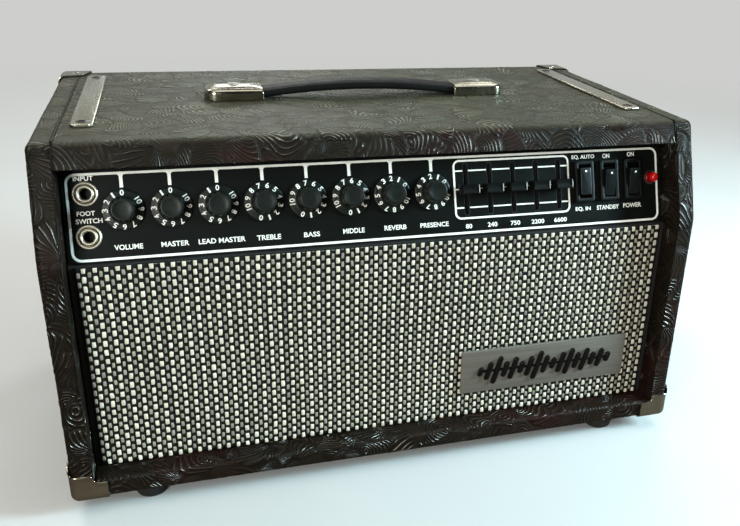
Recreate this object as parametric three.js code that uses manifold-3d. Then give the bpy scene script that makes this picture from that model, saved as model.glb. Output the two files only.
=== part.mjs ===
// Guitar amplifier head: a vinyl-covered wooden cabinet with a tilted control panel above a grille.
// Millimetres, +Z up, +X to the right seen from the front, front face towards -Y.
// Origin: centre of the footprint, on the surface the feet stand on.
import * as THREE from "three";
import { mergeVertices } from "three/addons/utils/BufferGeometryUtils.js";
import Module from "manifold-3d";

const wasm = await Module();
wasm.setup();

// ---- driving dimensions -------------------------------------------------
const FOOT_HEIGHT = 13.5;
const WIDTH = 500;
const DEPTH = 288; // at the bottom
const HEIGHT = 265.5; // without feet
const KINK = 188.5; // height above the underside at which the front edge starts to lean back
const LEAN = 26.5; // how far the front edge has moved back at the top
const SIDE_T = 16.5; // board thicknesses
const BOTTOM_T = 16.6;
const TOP_T = 18.5;
const GAP = 0.3; // clearance between fitted pieces
const TOP_GAP = 0.2; // clearance under the fittings on the top board

const BASE_Z = FOOT_HEIGHT; // underside of the cabinet
const TOP_Z = BASE_Z + HEIGHT;
const FLOOR_Z = BASE_Z + BOTTOM_T; // upper face of the bottom board
const FRONT_Y = -DEPTH / 2; // front plane below the kink
const BACK_Y = DEPTH / 2;
const TILT = Math.atan2(LEAN, HEIGHT - KINK); // lean of the front edge and the control panel

// Half lengths along X of what fits between the side boards
const INNER_X = WIDTH / 2 - SIDE_T;
const BOARD_X = INNER_X - 0.1; // top and bottom boards
const INSET_X = BOARD_X - 0.4; // baffle and rear panel
const PANEL_X = BOARD_X - 0.6; // control panel

const GRILLE_Y = FRONT_Y + 17.3; // front of the grille cloth
const GRILLE_TOP = BASE_Z + 179.2;

const PANEL_SETBACK = 25.85; // panel surface behind the leaning front plane
const PANEL_T = 2;
const PANEL_Y = FRONT_Y + PANEL_SETBACK * Math.cos(TILT);
const PANEL_Z = BASE_Z + KINK - PANEL_SETBACK * Math.sin(TILT);

// ---- solids -------------------------------------------------------------
// Positions and faces only, with shared vertices and no collapsed triangles.
function welded(geometry) {
  const copy = geometry.clone();
  for (const name of ["normal", "uv", "uv1", "uv2"]) copy.deleteAttribute(name);
  const merged = mergeVertices(copy, 1e-4);
  const source = merged.index.array;
  const kept = [];
  for (let i = 0; i < source.length; i += 3) {
    const face = [source[i], source[i + 1], source[i + 2]];
    if (new Set(face).size === 3) kept.push(...face);
  }
  merged.setIndex(kept);
  return merged;
}

function signedVolume(geometry) {
  const { position } = geometry.attributes;
  const index = geometry.index.array;
  const corners = [0, 1, 2].map(() => new THREE.Vector3());
  let sum = 0;
  for (let i = 0; i < index.length; i += 3) {
    corners.forEach((corner, k) => corner.fromBufferAttribute(position, index[i + k]));
    sum += corners[0].dot(corners[1].cross(corners[2]));
  }
  return sum / 6;
}

// Welded, with every face turned outwards.
function outward(geometry) {
  const result = welded(geometry);
  if (signedVolume(result) < 0) {
    const index = result.index.array;
    for (let i = 0; i < index.length; i += 3) {
      [index[i + 1], index[i + 2]] = [index[i + 2], index[i + 1]];
    }
  }
  return result;
}

function solid(geometry) {
  const closed = outward(geometry);
  return new wasm.Manifold(
    new wasm.Mesh({
      numProp: 3,
      vertProperties: new Float32Array(closed.attributes.position.array),
      triVerts: new Uint32Array(closed.index.array),
    }),
  );
}

function geometryOf(manifold) {
  const { numProp, numVert, vertProperties, triVerts } = manifold.getMesh();
  const positions = new Float32Array(numVert * 3);
  for (let i = 0; i < numVert; i++) {
    positions.set(vertProperties.subarray(i * numProp, i * numProp + 3), i * 3);
  }
  return new THREE.BufferGeometry()
    .setAttribute("position", new THREE.BufferAttribute(positions, 3))
    .setIndex(new THREE.BufferAttribute(new Uint32Array(triVerts), 1));
}

const minus = (first, ...others) =>
  geometryOf(others.reduce((sum, other) => sum.subtract(solid(other)), solid(first)));
const plus = (first, ...others) =>
  geometryOf(others.reduce((sum, other) => sum.add(solid(other)), solid(first)));

// ---- shapes; a range is a [low, high] pair ------------------------------
const around = (centre, half) => [centre - half, centre + half];
const ordered = (range) => [Math.min(...range), Math.max(...range)];

function block([x0, x1], [y0, y1], [z0, z1]) {
  return new THREE.BoxGeometry(x1 - x0, y1 - y0, z1 - z0).translate(
    (x0 + x1) / 2,
    (y0 + y1) / 2,
    (z0 + z1) / 2,
  );
}

function extrude(points, depth) {
  const shape = new THREE.Shape(points.map((point) => new THREE.Vector2(...point)));
  return new THREE.ExtrudeGeometry(shape, { depth, bevelEnabled: false });
}

const basis = (...axes) =>
  new THREE.Matrix4().makeBasis(...axes.map((axis) => new THREE.Vector3(...axis)));

// A (y, z) outline drawn out along X.
const prismX = (points, [x0, x1]) =>
  extrude(points, x1 - x0)
    .applyMatrix4(basis([0, 1, 0], [0, 0, 1], [1, 0, 0]))
    .translate(x0, 0, 0);

// An (x, z) outline drawn out along Y.
const prismY = (points, [y0, y1]) =>
  extrude(points, y1 - y0)
    .applyMatrix4(basis([1, 0, 0], [0, 0, 1], [0, -1, 0]))
    .translate(0, y1, 0);

// An (x, y) outline drawn out along Z.
const prismZ = (points, [z0, z1]) => extrude(points, z1 - z0).translate(0, 0, z0);

// Turned about Y from a profile of [radius, height along the axis] pairs.
const turnedY = (profile, segments) =>
  new THREE.LatheGeometry(
    profile.map((point) => new THREE.Vector2(...point)),
    segments,
  );
const turnedZ = (profile, segments) => turnedY(profile, segments).rotateX(Math.PI / 2);

function circle(x, z, radius, segments) {
  return Array.from({ length: segments }, (_, i) => {
    const angle = (2 * Math.PI * i) / segments;
    return [x + radius * Math.cos(angle), z + radius * Math.sin(angle)];
  });
}

const rectangle = ([x0, x1], [z0, z1]) => [
  [x0, z0],
  [x1, z0],
  [x1, z1],
  [x0, z1],
];

const chamferedRectangle = ([x0, x1], [y0, y1], chamfer) => [
  [x0 + chamfer, y0],
  [x1 - chamfer, y0],
  [x1, y0 + chamfer],
  [x1, y1 - chamfer],
  [x1 - chamfer, y1],
  [x0 + chamfer, y1],
  [x0, y1 - chamfer],
  [x0, y0 + chamfer],
];

// ---- groups and materials -----------------------------------------------
const root = new THREE.Group();
const panelGroup = new THREE.Group(); // x across, +y into the panel, z up its slope
panelGroup.position.set(0, PANEL_Y, PANEL_Z);
panelGroup.rotation.x = -TILT;
root.add(panelGroup);

const FINISH = {
  vinyl: { color: 0x1d1714, roughness: 0.5 },
  vinylBack: { color: 0x17120f, roughness: 0.6 },
  birch: { color: 0x1a1a18, roughness: 0.8 },
  grille: { color: 0x77746a, roughness: 0.9 },
  alloy: { color: 0x83858a, roughness: 0.4, metalness: 1 },
  blackGloss: { color: 0x08080a, roughness: 0.25 },
  panel: { color: 0x10110f, roughness: 0.5, metalness: 0.3 },
  steel: { color: 0x9a9c9e, roughness: 0.45, metalness: 1 },
  chrome: { color: 0xc9c9c4, roughness: 0.15, metalness: 1 },
  grip: { color: 0x131313, roughness: 0.5 },
  rubber: { color: 0x0b0b0b, roughness: 0.8 },
  knob: { color: 0x0c0c0c, roughness: 0.4 },
  lens: { color: 0xd0161c, roughness: 0.2 },
  board: { color: 0x2f5a3a, roughness: 0.6 },
  core: { color: 0x2a2a2c, roughness: 0.5, metalness: 0.6 },
  glass: { color: 0xbfc6c8, roughness: 0.1 },
};

function put(parent, name, geometry, finish, position = [0, 0, 0]) {
  const closed = outward(geometry);
  closed.computeVertexNormals();
  const material = new THREE.MeshStandardMaterial({ metalness: 0, ...finish, flatShading: true });
  const mesh = new THREE.Mesh(closed, material);
  mesh.name = name;
  mesh.position.set(...position);
  parent.add(mesh);
}

// ---- cabinet boards -----------------------------------------------------
const SIDE_CHAMFER = 3; // around the outer face

// (y, z) outline of a side board, moved inwards by `inset`.
const sideOutline = (inset) => [
  [FRONT_Y + inset, BASE_Z + inset],
  [BACK_Y - inset, BASE_Z + inset],
  [BACK_Y - inset, TOP_Z - inset],
  [FRONT_Y + LEAN + inset / Math.cos(TILT) - inset * Math.tan(TILT), TOP_Z - inset],
  [FRONT_Y + inset, BASE_Z + KINK + Math.tan(TILT / 2) * inset],
];

// Stacked outlines: full size from the inner face to the chamfer, smaller at the outer face.
function sideBoard(side) {
  const full = sideOutline(0);
  const count = full.length;
  const rings = [
    { x: INNER_X, outline: full },
    { x: WIDTH / 2 - SIDE_CHAMFER, outline: full },
    { x: WIDTH / 2, outline: sideOutline(SIDE_CHAMFER) },
  ];
  const positions = rings.flatMap(({ x, outline }) =>
    outline.flatMap(([y, z]) => [side * x, y, z]),
  );
  const index = [];
  for (let k = 0; k < rings.length - 1; k++) {
    for (let i = 0; i < count; i++) {
      const here = k * count + i;
      const next = k * count + ((i + 1) % count);
      index.push(here, next, next + count, here, next + count, here + count);
    }
  }
  const last = (rings.length - 1) * count;
  for (let i = 1; i < count - 1; i++) {
    index.push(0, i + 1, i); // inner face
    index.push(last, last + i, last + i + 1); // outer face
  }
  return new THREE.BufferGeometry()
    .setAttribute("position", new THREE.Float32BufferAttribute(positions, 3))
    .setIndex(index);
}

// The front edge follows the lean of the side boards.
function topBoard() {
  const outline = [
    [FRONT_Y + LEAN - TOP_T * Math.tan(TILT), TOP_Z - TOP_T],
    [BACK_Y, TOP_Z - TOP_T],
    [BACK_Y, TOP_Z],
    [FRONT_Y + LEAN, TOP_Z],
  ];
  return prismX(outline, around(0, BOARD_X));
}

put(root, "left_side_board", sideBoard(-1), FINISH.vinyl);
put(root, "right_side_board", sideBoard(1), FINISH.vinyl);
put(root, "top_board", topBoard(), FINISH.vinyl);
put(
  root,
  "bottom_board",
  block(around(0, BOARD_X), [FRONT_Y, BACK_Y], [BASE_Z, FLOOR_Z]),
  FINISH.vinyl,
);

// Rear panel: a board across the lower half of the open back.
put(
  root,
  "rear_panel",
  block(around(0, INSET_X), [BACK_Y - 16, BACK_Y - 6], [FLOOR_Z + GAP, BASE_Z + 128]),
  FINISH.vinylBack,
);

// ---- grille and the baffle behind it ------------------------------------
const CLOTH_X = 229.3; // half width
const CLOTH_T = 2.5;
const CLOTH_BOTTOM = BASE_Z + 17.2;
const BAFFLE_T = 12;
const BAFFLE_Y = GRILLE_Y + CLOTH_T + GAP;

put(
  root,
  "baffle_board",
  block(around(0, INSET_X), [BAFFLE_Y, BAFFLE_Y + BAFFLE_T], [FLOOR_Z + GAP, GRILLE_TOP]),
  FINISH.birch,
);
put(
  root,
  "grille_cloth",
  block(around(0, CLOTH_X), [GRILLE_Y, GRILLE_Y + CLOTH_T], [CLOTH_BOTTOM, GRILLE_TOP]),
  FINISH.grille,
);

// ---- badge --------------------------------------------------------------
const BADGE_X = [56.5, 208.5];
const BADGE_Z = [BASE_Z + 40, BASE_Z + 79.5];
const BADGE_CHAMFER = 1.5;
const BADGE_BACK = GRILLE_Y - GAP;
const BADGE_FRONT = BADGE_BACK - 2;
const EMBLEM_BACK = BADGE_FRONT - 0.1;
const EMBLEM_T = 2.2;
// Half heights of the emblem's bars, left to right
const WAVE = [4, 8, 12.5, 7, 10, 5.5, 9, 13, 8, 5, 9.5, 12, 7.5, 10.5, 6, 8.5, 4.5];
const BAR_PITCH = 7.4;
const BAR_HALF = 2.1; // half width
const BAR_CHAMFER = 1;
const LINE_HALF = 0.9; // half height of the centre line
const WAVE_SHEAR = 0.28; // sideways lean per unit of height

// Bars of varying height on a thin centre line, all leaning a little.
function badgeEmblem() {
  const centreX = (BADGE_X[0] + BADGE_X[1]) / 2;
  const centreZ = (BADGE_Z[0] + BADGE_Z[1]) / 2;
  const firstX = -((WAVE.length - 1) * BAR_PITCH) / 2;
  const upper = WAVE.flatMap((height, i) => {
    const [left, right] = around(firstX + i * BAR_PITCH, BAR_HALF);
    return [
      [left, LINE_HALF],
      [left, height - BAR_CHAMFER],
      [left + BAR_CHAMFER, height],
      [right - BAR_CHAMFER, height],
      [right, height - BAR_CHAMFER],
      [right, LINE_HALF],
    ];
  });
  const lower = upper.map(([x, z]) => [x, -z]).reverse();
  const outline = [...upper, ...lower].map(([x, z]) => [
    centreX + x + WAVE_SHEAR * z,
    centreZ + z,
  ]);
  return prismY(outline, [EMBLEM_BACK - EMBLEM_T, EMBLEM_BACK]);
}

put(
  root,
  "badge_plate",
  prismY(chamferedRectangle(BADGE_X, BADGE_Z, BADGE_CHAMFER), [BADGE_FRONT, BADGE_BACK]),
  FINISH.alloy,
);
put(root, "badge_emblem", badgeEmblem(), FINISH.blackGloss);

// ---- corner protectors --------------------------------------------------
const CORNER_LEG = 30;
const CORNER_T = 1.2;
const CORNER_GAP = 0.15;

// Three flanges; the one on the front or back follows the edges of the boards.
function cornerProtector(sideX, sideY, sideZ) {
  const faceZ = sideZ > 0 ? TOP_Z : BASE_Z;
  // x and y run outwards from the centre, depths inwards from the top or bottom face
  const box = (xs, ys, depths) =>
    block(
      ordered(xs.map((x) => sideX * x)),
      ordered(ys.map((y) => sideY * y)),
      ordered(depths.map((depth) => faceZ - sideZ * depth)),
    );
  const cornerX = WIDTH / 2;
  const cornerY = DEPTH / 2;
  const shell = CORNER_GAP + CORNER_T;
  const reach = CORNER_LEG + 5; // cutters run past the legs
  const outer = box(
    [cornerX - CORNER_LEG, cornerX + shell],
    [cornerY - CORNER_LEG, cornerY + shell],
    [-shell, CORNER_LEG],
  );
  const inner = box(
    [cornerX - reach, cornerX + CORNER_GAP],
    [cornerY - reach, cornerY + CORNER_GAP],
    [-CORNER_GAP, reach],
  );
  const opening = box(
    [cornerX - reach, cornerX - SIDE_T],
    [cornerY - 2, cornerY + 5],
    [sideZ > 0 ? TOP_T : BOTTOM_T, reach],
  );
  return minus(outer, inner, opening);
}

for (const [place, sideY, sideZ] of [
  ["bottom_front", -1, -1],
  ["bottom_rear", 1, -1],
  ["top_rear", 1, 1],
]) {
  put(root, `corner_${place}_left`, cornerProtector(-1, sideY, sideZ), FINISH.chrome);
  put(root, `corner_${place}_right`, cornerProtector(1, sideY, sideZ), FINISH.chrome);
}

// ---- feet ---------------------------------------------------------------
const FOOT_R = 13.5;
const FOOT_X = 195;
const FOOT_Y = 122;
const FOOT_TOP = FOOT_HEIGHT - 0.2;
// Tapered puck with a screw recess in its underside: [radius, z]
const FOOT_PROFILE = [
  [0, FOOT_TOP],
  [FOOT_R, FOOT_TOP],
  [FOOT_R, FOOT_HEIGHT - 3],
  [FOOT_R - 1.6, 1],
  [FOOT_R - 2.6, 0],
  [5, 0],
  [4.6, 6],
  [0, 6],
];

for (const [name, x, y] of [
  ["foot_front_left", -FOOT_X, -FOOT_Y],
  ["foot_front_right", FOOT_X, -FOOT_Y],
  ["foot_rear_left", -FOOT_X, FOOT_Y],
  ["foot_rear_right", FOOT_X, FOOT_Y],
]) {
  put(root, name, turnedZ(FOOT_PROFILE, 24), FINISH.rubber, [x, y, 0]);
}

// ---- chassis straps on the top board ------------------------------------
const STRAP_X = 217.5;
const STRAP_W = 15.5;
const STRAP_T = 1.6;
const STRAP_CHAMFER = 3;
const STRAP_Y = [FRONT_Y + 68, BACK_Y - CORNER_LEG - 1.5];

function chassisStrap(side) {
  const outline = chamferedRectangle(
    around(side * STRAP_X, STRAP_W / 2),
    STRAP_Y,
    STRAP_CHAMFER,
  );
  return prismZ(outline, [TOP_Z + TOP_GAP, TOP_Z + TOP_GAP + STRAP_T]);
}

put(root, "chassis_strap_left", chassisStrap(-1), FINISH.chrome);
put(root, "chassis_strap_right", chassisStrap(1), FINISH.chrome);

// ---- handle -------------------------------------------------------------
const HANDLE_Y = FRONT_Y + 158;
const CAP_INNER_X = 82.5;
const CAP_OUTER_X = 129.5;
const CAP_W = 30;
const CAP_H = 11;
const CAP_ROUND = 7; // radius of the outer corners
const CAP_ARC_STEPS = 4;
const CAP_END_WALL = 7;
const CAP_ROOF = 1.4; // cavity top below CAP_H
const GRIP_W = 24;
const GRIP_END_X = CAP_OUTER_X - 12;
const GRIP_STEPS = 24;
const GRIP_UNDER = 0.8; // faces of the flat ends above the top board
const GRIP_OVER = 8.2;
const GRIP_LIFT = 5.2; // rise of the underside in the middle
const GRIP_OVER_SCALE = 1.02; // the upper face rises slightly more

// Square at the inner end, rounded at the outer corners, hollow and open to the strap.
function handleCap(side) {
  const half = CAP_W / 2;
  const arc = (centreY, startAngle) =>
    Array.from({ length: CAP_ARC_STEPS + 1 }, (_, i) => {
      const angle = startAngle + ((Math.PI / 2) * i) / CAP_ARC_STEPS;
      return [
        side * (CAP_OUTER_X - CAP_ROUND + CAP_ROUND * Math.cos(angle)),
        HANDLE_Y + centreY + CAP_ROUND * Math.sin(angle),
      ];
    });
  const outline = [
    [side * CAP_INNER_X, HANDLE_Y - half],
    ...arc(CAP_ROUND - half, -Math.PI / 2),
    ...arc(half - CAP_ROUND, 0),
    [side * CAP_INNER_X, HANDLE_Y + half],
  ];
  const shell = prismZ(outline, [TOP_Z + TOP_GAP, TOP_Z + TOP_GAP + CAP_H]);
  const cavity = block(
    ordered([side * (CAP_INNER_X - 3), side * (CAP_OUTER_X - CAP_END_WALL)]),
    around(HANDLE_Y, GRIP_W / 2 + 0.5),
    [TOP_Z - 1, TOP_Z + CAP_H - CAP_ROOF],
  );
  return minus(shell, cavity);
}

// Both ends lie in the caps, the middle is bowed up.
function handleStrap() {
  const under = [];
  const over = [];
  for (let i = 0; i <= GRIP_STEPS; i++) {
    const x = -GRIP_END_X + (2 * GRIP_END_X * i) / GRIP_STEPS;
    const fraction = Math.min(1, Math.abs(x) / CAP_INNER_X);
    const lift = GRIP_LIFT * (1 - fraction * fraction);
    under.push([x, TOP_Z + GRIP_UNDER + lift]);
    over.push([x, TOP_Z + GRIP_OVER + lift * GRIP_OVER_SCALE]);
  }
  return prismY([...under, ...over.reverse()], around(HANDLE_Y, GRIP_W / 2));
}

put(root, "handle_cap_left", handleCap(-1), FINISH.chrome);
put(root, "handle_cap_right", handleCap(1), FINISH.chrome);
put(root, "handle_strap", handleStrap(), FINISH.grip);

// ---- controls: places on the panel --------------------------------------
// x across, z up the slope; y = 0 is the panel's surface and +y is behind it
const KNOBS = [
  "volume",
  "master",
  "lead_master",
  "treble",
  "bass",
  "middle",
  "reverb",
  "presence",
].map((name, i) => ({ name, x: -193.9 + 32.2 * i }));
const KNOB_Z = 35.6;
const SHAFT_R = 3;
const SLIDERS = ["80", "240", "750", "2200", "6600"].map((band, i) => ({
  band,
  x: 59.5 + 19.85 * i,
}));
const SLIDER_Z = 35.8;
const SLOT_W = 3.5;
const SLOT_L = 40;
const ROCKERS = [
  { name: "eq", x: 161.0, rest: 0 }, // at rest level
  { name: "standby", x: 183.4, rest: 1 }, // lower half pressed in
  { name: "power", x: 205.5, rest: 1 },
];
const ROCKER_Z = 36.9;
const HOUSING_W = 14; // rocker housing behind the panel
const HOUSING_L = 30.4;
const JACK_X = -217.8;
const JACKS = [
  { name: "input_jack", z: 47.9 },
  { name: "footswitch_jack", z: 18.1 },
];
const PILOT_X = 223.2;
const PILOT_Z = 37.2;
const ROUND_HOLE_R = 5.2; // for the jacks and the pilot light

function controlPanel() {
  const holes = [
    ...KNOBS.map(({ x }) => circle(x, KNOB_Z, SHAFT_R + 0.7, 12)),
    ...SLIDERS.map(({ x }) => rectangle(around(x, SLOT_W / 2), around(SLIDER_Z, SLOT_L / 2))),
    ...ROCKERS.map(({ x }) =>
      rectangle(around(x, HOUSING_W / 2 + GAP), around(ROCKER_Z, HOUSING_L / 2 + GAP)),
    ),
    ...JACKS.map(({ z }) => circle(JACK_X, z, ROUND_HOLE_R, 16)),
    circle(PILOT_X, PILOT_Z, ROUND_HOLE_R, 16),
  ];
  return minus(
    prismY(rectangle(around(0, PANEL_X), [0.2, 68.5]), [0, PANEL_T]),
    ...holes.map((hole) => prismY(hole, [-2, PANEL_T + 2])),
  );
}
put(panelGroup, "control_panel", controlPanel(), FINISH.panel);

// ---- knobs: skirted, each on its shaft through the panel ----------------
const SKIRT_R = 14.2;
const KNOB_PROFILE = [
  // [radius, y]
  [0, 9], // shaft end behind the panel
  [SHAFT_R, 9],
  [SHAFT_R, -1.2],
  [SKIRT_R - 0.5, -1.2],
  [SKIRT_R, -1.7],
  [SKIRT_R, -2.4],
  [9.4, -4.6],
  [8.3, -5.4],
  [7.6, -15],
  [6.6, -16],
  [0, -16],
];
for (const { name, x } of KNOBS) {
  put(panelGroup, `${name}_knob`, turnedY(KNOB_PROFILE, 24), FINISH.knob, [x, 0, KNOB_Z]);
}

// ---- equaliser sliders: a cap on a flat stem through its slot -----------
function slider() {
  const cap = block(around(0, 7.2), [-13.4, -3.2], around(0, 3.8));
  const stem = block(around(0, 0.9), [-3.6, 9], around(0, 2.5));
  return plus(cap, stem);
}
for (const { band, x } of SLIDERS) {
  put(panelGroup, `eq_slider_${band}`, slider(), FINISH.knob, [x, 0, SLIDER_Z]);
}

// ---- rocker switches: a housing and a rocker on two trunnions -----------
const PIVOT_Y = 2.5; // depth of the pivot behind the panel's surface
const ROCKER_TILT = THREE.MathUtils.degToRad(15);
// Side view about the pivot, [y, z]: flat front face, widest at y = -2
const ROCKER_OUTLINE = [
  [-9, 11.1],
  [-2, 12.2],
  [3, 11],
  [3, -11],
  [-2, -12.2],
  [-9, -11.1],
];

// A cylinder along X through the pivot.
function axle(radius, half) {
  const profile = [
    [0, -half],
    [radius, -half],
    [radius, half],
    [0, half],
  ];
  return turnedY(profile, 16)
    .rotateZ(Math.PI / 2)
    .translate(0, PIVOT_Y, 0);
}

function switchHousing() {
  const bezel = block(around(0, 8.3), [-4.5, -0.1], around(0, 16.5));
  const body = block(around(0, HOUSING_W / 2), [-0.5, 18], around(0, HOUSING_L / 2));
  const well = block(around(0, 5.3), [-6, 9.5], around(0, 13.6));
  return minus(plus(bezel, body), well, axle(1.9, 6.3));
}

function rocker() {
  const paddle = prismX(ROCKER_OUTLINE, around(0, 4.8)).translate(0, PIVOT_Y, 0);
  return plus(paddle, axle(1.6, 6.1));
}

for (const { name, x, rest } of ROCKERS) {
  put(panelGroup, `${name}_switch_housing`, switchHousing(), FINISH.knob, [x, 0, ROCKER_Z]);
  const pivot = new THREE.Group();
  pivot.position.set(x, PIVOT_Y, ROCKER_Z);
  pivot.rotation.x = rest * ROCKER_TILT;
  panelGroup.add(pivot);
  put(pivot, `${name}_rocker`, rocker(), FINISH.blackGloss, [0, -PIVOT_Y, 0]);
}

// ---- jacks and pilot light; profiles are [radius, y] --------------------
// Socket body behind, bush through the panel, ringed nut outside, then the bore
const JACK_PROFILE = [
  [0, 15], [8.8, 15], [8.8, 2.4], [4.8, 2.4], [4.8, -0.2],
  [8.6, -0.2], [8.6, -1.4], [7.4, -2.2], [6.4, -1.8], [5.4, -3.2], [4.3, -3.4],
  [3.4, -2.6], [3.4, 10], [0, 10],
];
const PILOT_BEZEL_PROFILE = [
  [4.3, 10], [4.9, 10], [4.9, -0.2], [5.8, -0.2],
  [5.8, -1.2], [5.1, -1.9], [4.3, -1.9], [4.3, 10],
];
const PILOT_LENS_PROFILE = [
  [0, 8], [4.0, 8], [4.0, -5.6], [3.5, -7.6], [2.2, -9], [0, -9.5],
];

for (const { name, z } of JACKS) {
  put(panelGroup, name, turnedY(JACK_PROFILE, 24), FINISH.chrome, [JACK_X, 0, z]);
}
const pilotPlace = [PILOT_X, 0, PILOT_Z];
const pilotBezel = turnedY(PILOT_BEZEL_PROFILE, 20);
put(panelGroup, "pilot_bezel", pilotBezel, FINISH.chrome, pilotPlace);
put(panelGroup, "pilot_lens", turnedY(PILOT_LENS_PROFILE, 16), FINISH.lens, pilotPlace);

// ---- chassis ------------------------------------------------------------
const CHASSIS_T = 1.8;
const CHASSIS_X = INNER_X - 2; // half length
const CHASSIS_BACK = 96;
const CHASSIS_BOTTOM = GRILLE_TOP + 0.5;
const CHASSIS_TOP = TOP_Z - TOP_T - 1;

// Tray of floor, back wall and two end walls; the control panel closes its front.
function chassis() {
  const behindPanel = (z) =>
    PANEL_Y + PANEL_T / Math.cos(TILT) + (z - PANEL_Z) * Math.tan(TILT) + 0.5;
  const outline = (bottom, top, back, overrun) => [
    [behindPanel(bottom) - overrun, bottom],
    [back, bottom],
    [back, top],
    [behindPanel(top) - overrun, top],
  ];
  const overrun = 8; // the cutter runs out of the front and the top
  const outer = outline(CHASSIS_BOTTOM, CHASSIS_TOP, CHASSIS_BACK, 0);
  const inner = outline(
    CHASSIS_BOTTOM + CHASSIS_T,
    CHASSIS_TOP + overrun,
    CHASSIS_BACK - CHASSIS_T,
    overrun,
  );
  return minus(
    prismX(outer, around(0, CHASSIS_X)),
    prismX(inner, around(0, CHASSIS_X - CHASSIS_T)),
  );
}
put(root, "chassis", chassis(), FINISH.steel);

// Circuit board on four spacers.
function circuitBoard() {
  const z = CHASSIS_BOTTOM + CHASSIS_T + 0.1;
  const plate = block(around(0, 170), [-62, 70], [z + 10, z + 11.6]);
  const spacers = [-160, 160].flatMap((x) =>
    [-54, 62].map((y) => block(around(x, 3), around(y, 3), [z, z + 10.5])),
  );
  return plus(plate, ...spacers);
}
put(root, "circuit_board", circuitBoard(), FINISH.board);

// ---- transformers and tubes hanging from the chassis --------------------
const HANG_Z = CHASSIS_BOTTOM - 0.3;

// A laminated core with a winding through it.
function transformer({ x, y, width, depth, height }) {
  const core = block(around(x, width / 2), around(y, depth / 4), [HANG_Z - height, HANG_Z]);
  const winding = block(
    around(x, width * 0.34),
    around(y, depth / 2),
    [HANG_Z - height * 0.82, HANG_Z - height * 0.18],
  );
  return plus(core, winding);
}
const POWER_TRANSFORMER = { x: 165, y: 30, width: 92, depth: 84, height: 76 };
const OUTPUT_TRANSFORMER = { x: 84, y: 30, width: 58, depth: 56, height: 50 };
put(root, "power_transformer", transformer(POWER_TRANSFORMER), FINISH.core);
put(root, "output_transformer", transformer(OUTPUT_TRANSFORMER), FINISH.core);

// Tubes hang base-up: socket, waist, glass envelope.
const TUBE_Y = 58;
function putTube(name, x, radius, length) {
  const profile = [
    [0, 0],
    [radius * 0.95, 0],
    [radius * 0.95, -7],
    [radius * 0.86, -8],
    [radius, -11],
    [radius, -length * 0.84],
    [radius * 0.8, -length * 0.93],
    [radius * 0.3, -length * 0.97],
    [0, -length],
  ];
  put(root, name, turnedZ(profile, 16), FINISH.glass, [x, TUBE_Y, HANG_Z]);
}
for (let i = 0; i < 2; i++) putTube(`power_tube_${i + 1}`, -12 + i * 40, 11, 78);
for (let i = 0; i < 5; i++) putTube(`preamp_tube_${i + 1}`, -200 + i * 36, 10.3, 58);

// ---- reverb tank: a shallow open tray standing on the bottom board ------
function reverbTank() {
  const halfWidth = 212;
  const [front, back] = [-10, 100];
  const height = 34;
  const wall = 1.4;
  const z = FLOOR_Z + 0.2;
  const outer = block(around(0, halfWidth), [front, back], [z, z + height]);
  const inner = block(
    around(0, halfWidth - wall),
    [front + wall, back - wall],
    [z + wall, z + height + 6],
  );
  return minus(outer, inner);
}
put(root, "reverb_tank", reverbTank(), FINISH.steel);

export default root;
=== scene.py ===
"""A tube amplifier head: a cabinet covered in tooled vinyl with a woven grille, a sloping control
panel, a carrying handle, and a chassis with tubes and transformers over a reverb tank.

Sizes are in millimetres. x runs to the right as seen from the front, y from the front to the
back, z up from the floor, on which the feet stand. The cabinet is centred on x = 0 and y = 0.
"""
import functools
import math

import bmesh
import bpy
import numpy as np
from mathutils import Matrix, Vector

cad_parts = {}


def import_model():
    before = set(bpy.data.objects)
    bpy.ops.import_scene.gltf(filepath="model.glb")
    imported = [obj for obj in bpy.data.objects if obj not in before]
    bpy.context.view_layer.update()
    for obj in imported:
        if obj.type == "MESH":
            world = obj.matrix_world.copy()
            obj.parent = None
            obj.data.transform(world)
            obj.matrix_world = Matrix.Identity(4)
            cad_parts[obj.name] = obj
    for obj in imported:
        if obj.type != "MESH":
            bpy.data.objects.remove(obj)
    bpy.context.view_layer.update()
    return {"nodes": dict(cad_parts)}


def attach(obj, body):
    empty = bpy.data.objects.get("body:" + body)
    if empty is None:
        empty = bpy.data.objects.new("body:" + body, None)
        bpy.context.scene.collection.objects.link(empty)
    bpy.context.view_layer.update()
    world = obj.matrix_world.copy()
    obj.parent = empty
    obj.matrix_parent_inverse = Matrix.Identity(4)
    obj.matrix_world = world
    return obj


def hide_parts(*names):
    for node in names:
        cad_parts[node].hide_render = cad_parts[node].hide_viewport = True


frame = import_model()
MM = 0.001
SIDES = (("left", -1), ("right", 1))  # name, sign of x

# ------------------------------------------------------------------ main sizes
FRONT_Y, BACK_Y = -144.0, 144.0
BOTTOM_Z, TOP_Z = 13.5, 279.0
SIDE_X, SIDE_INNER_X = 250.0, 233.5  # outer and inner faces of the side boards
TOP_UNDER_Z = 260.5  # underside of the top board
BOTTOM_UPPER_Z = 30.1  # upper face of the bottom board
KINK_Z = 202.0  # the front leans back above this height
LEAN_DEPTH, LEAN_RISE = 26.5, TOP_Z - KINK_Z
LEAN = math.atan2(LEAN_DEPTH, LEAN_RISE)
LEAN_SIN, LEAN_COS = math.sin(LEAN), math.cos(LEAN)
PANEL_RECESS = 25.85  # control panel behind the leaning front plane
CHASSIS_UNDER_Z, CHASSIS_BACK_Y = 192.9, 96


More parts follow.
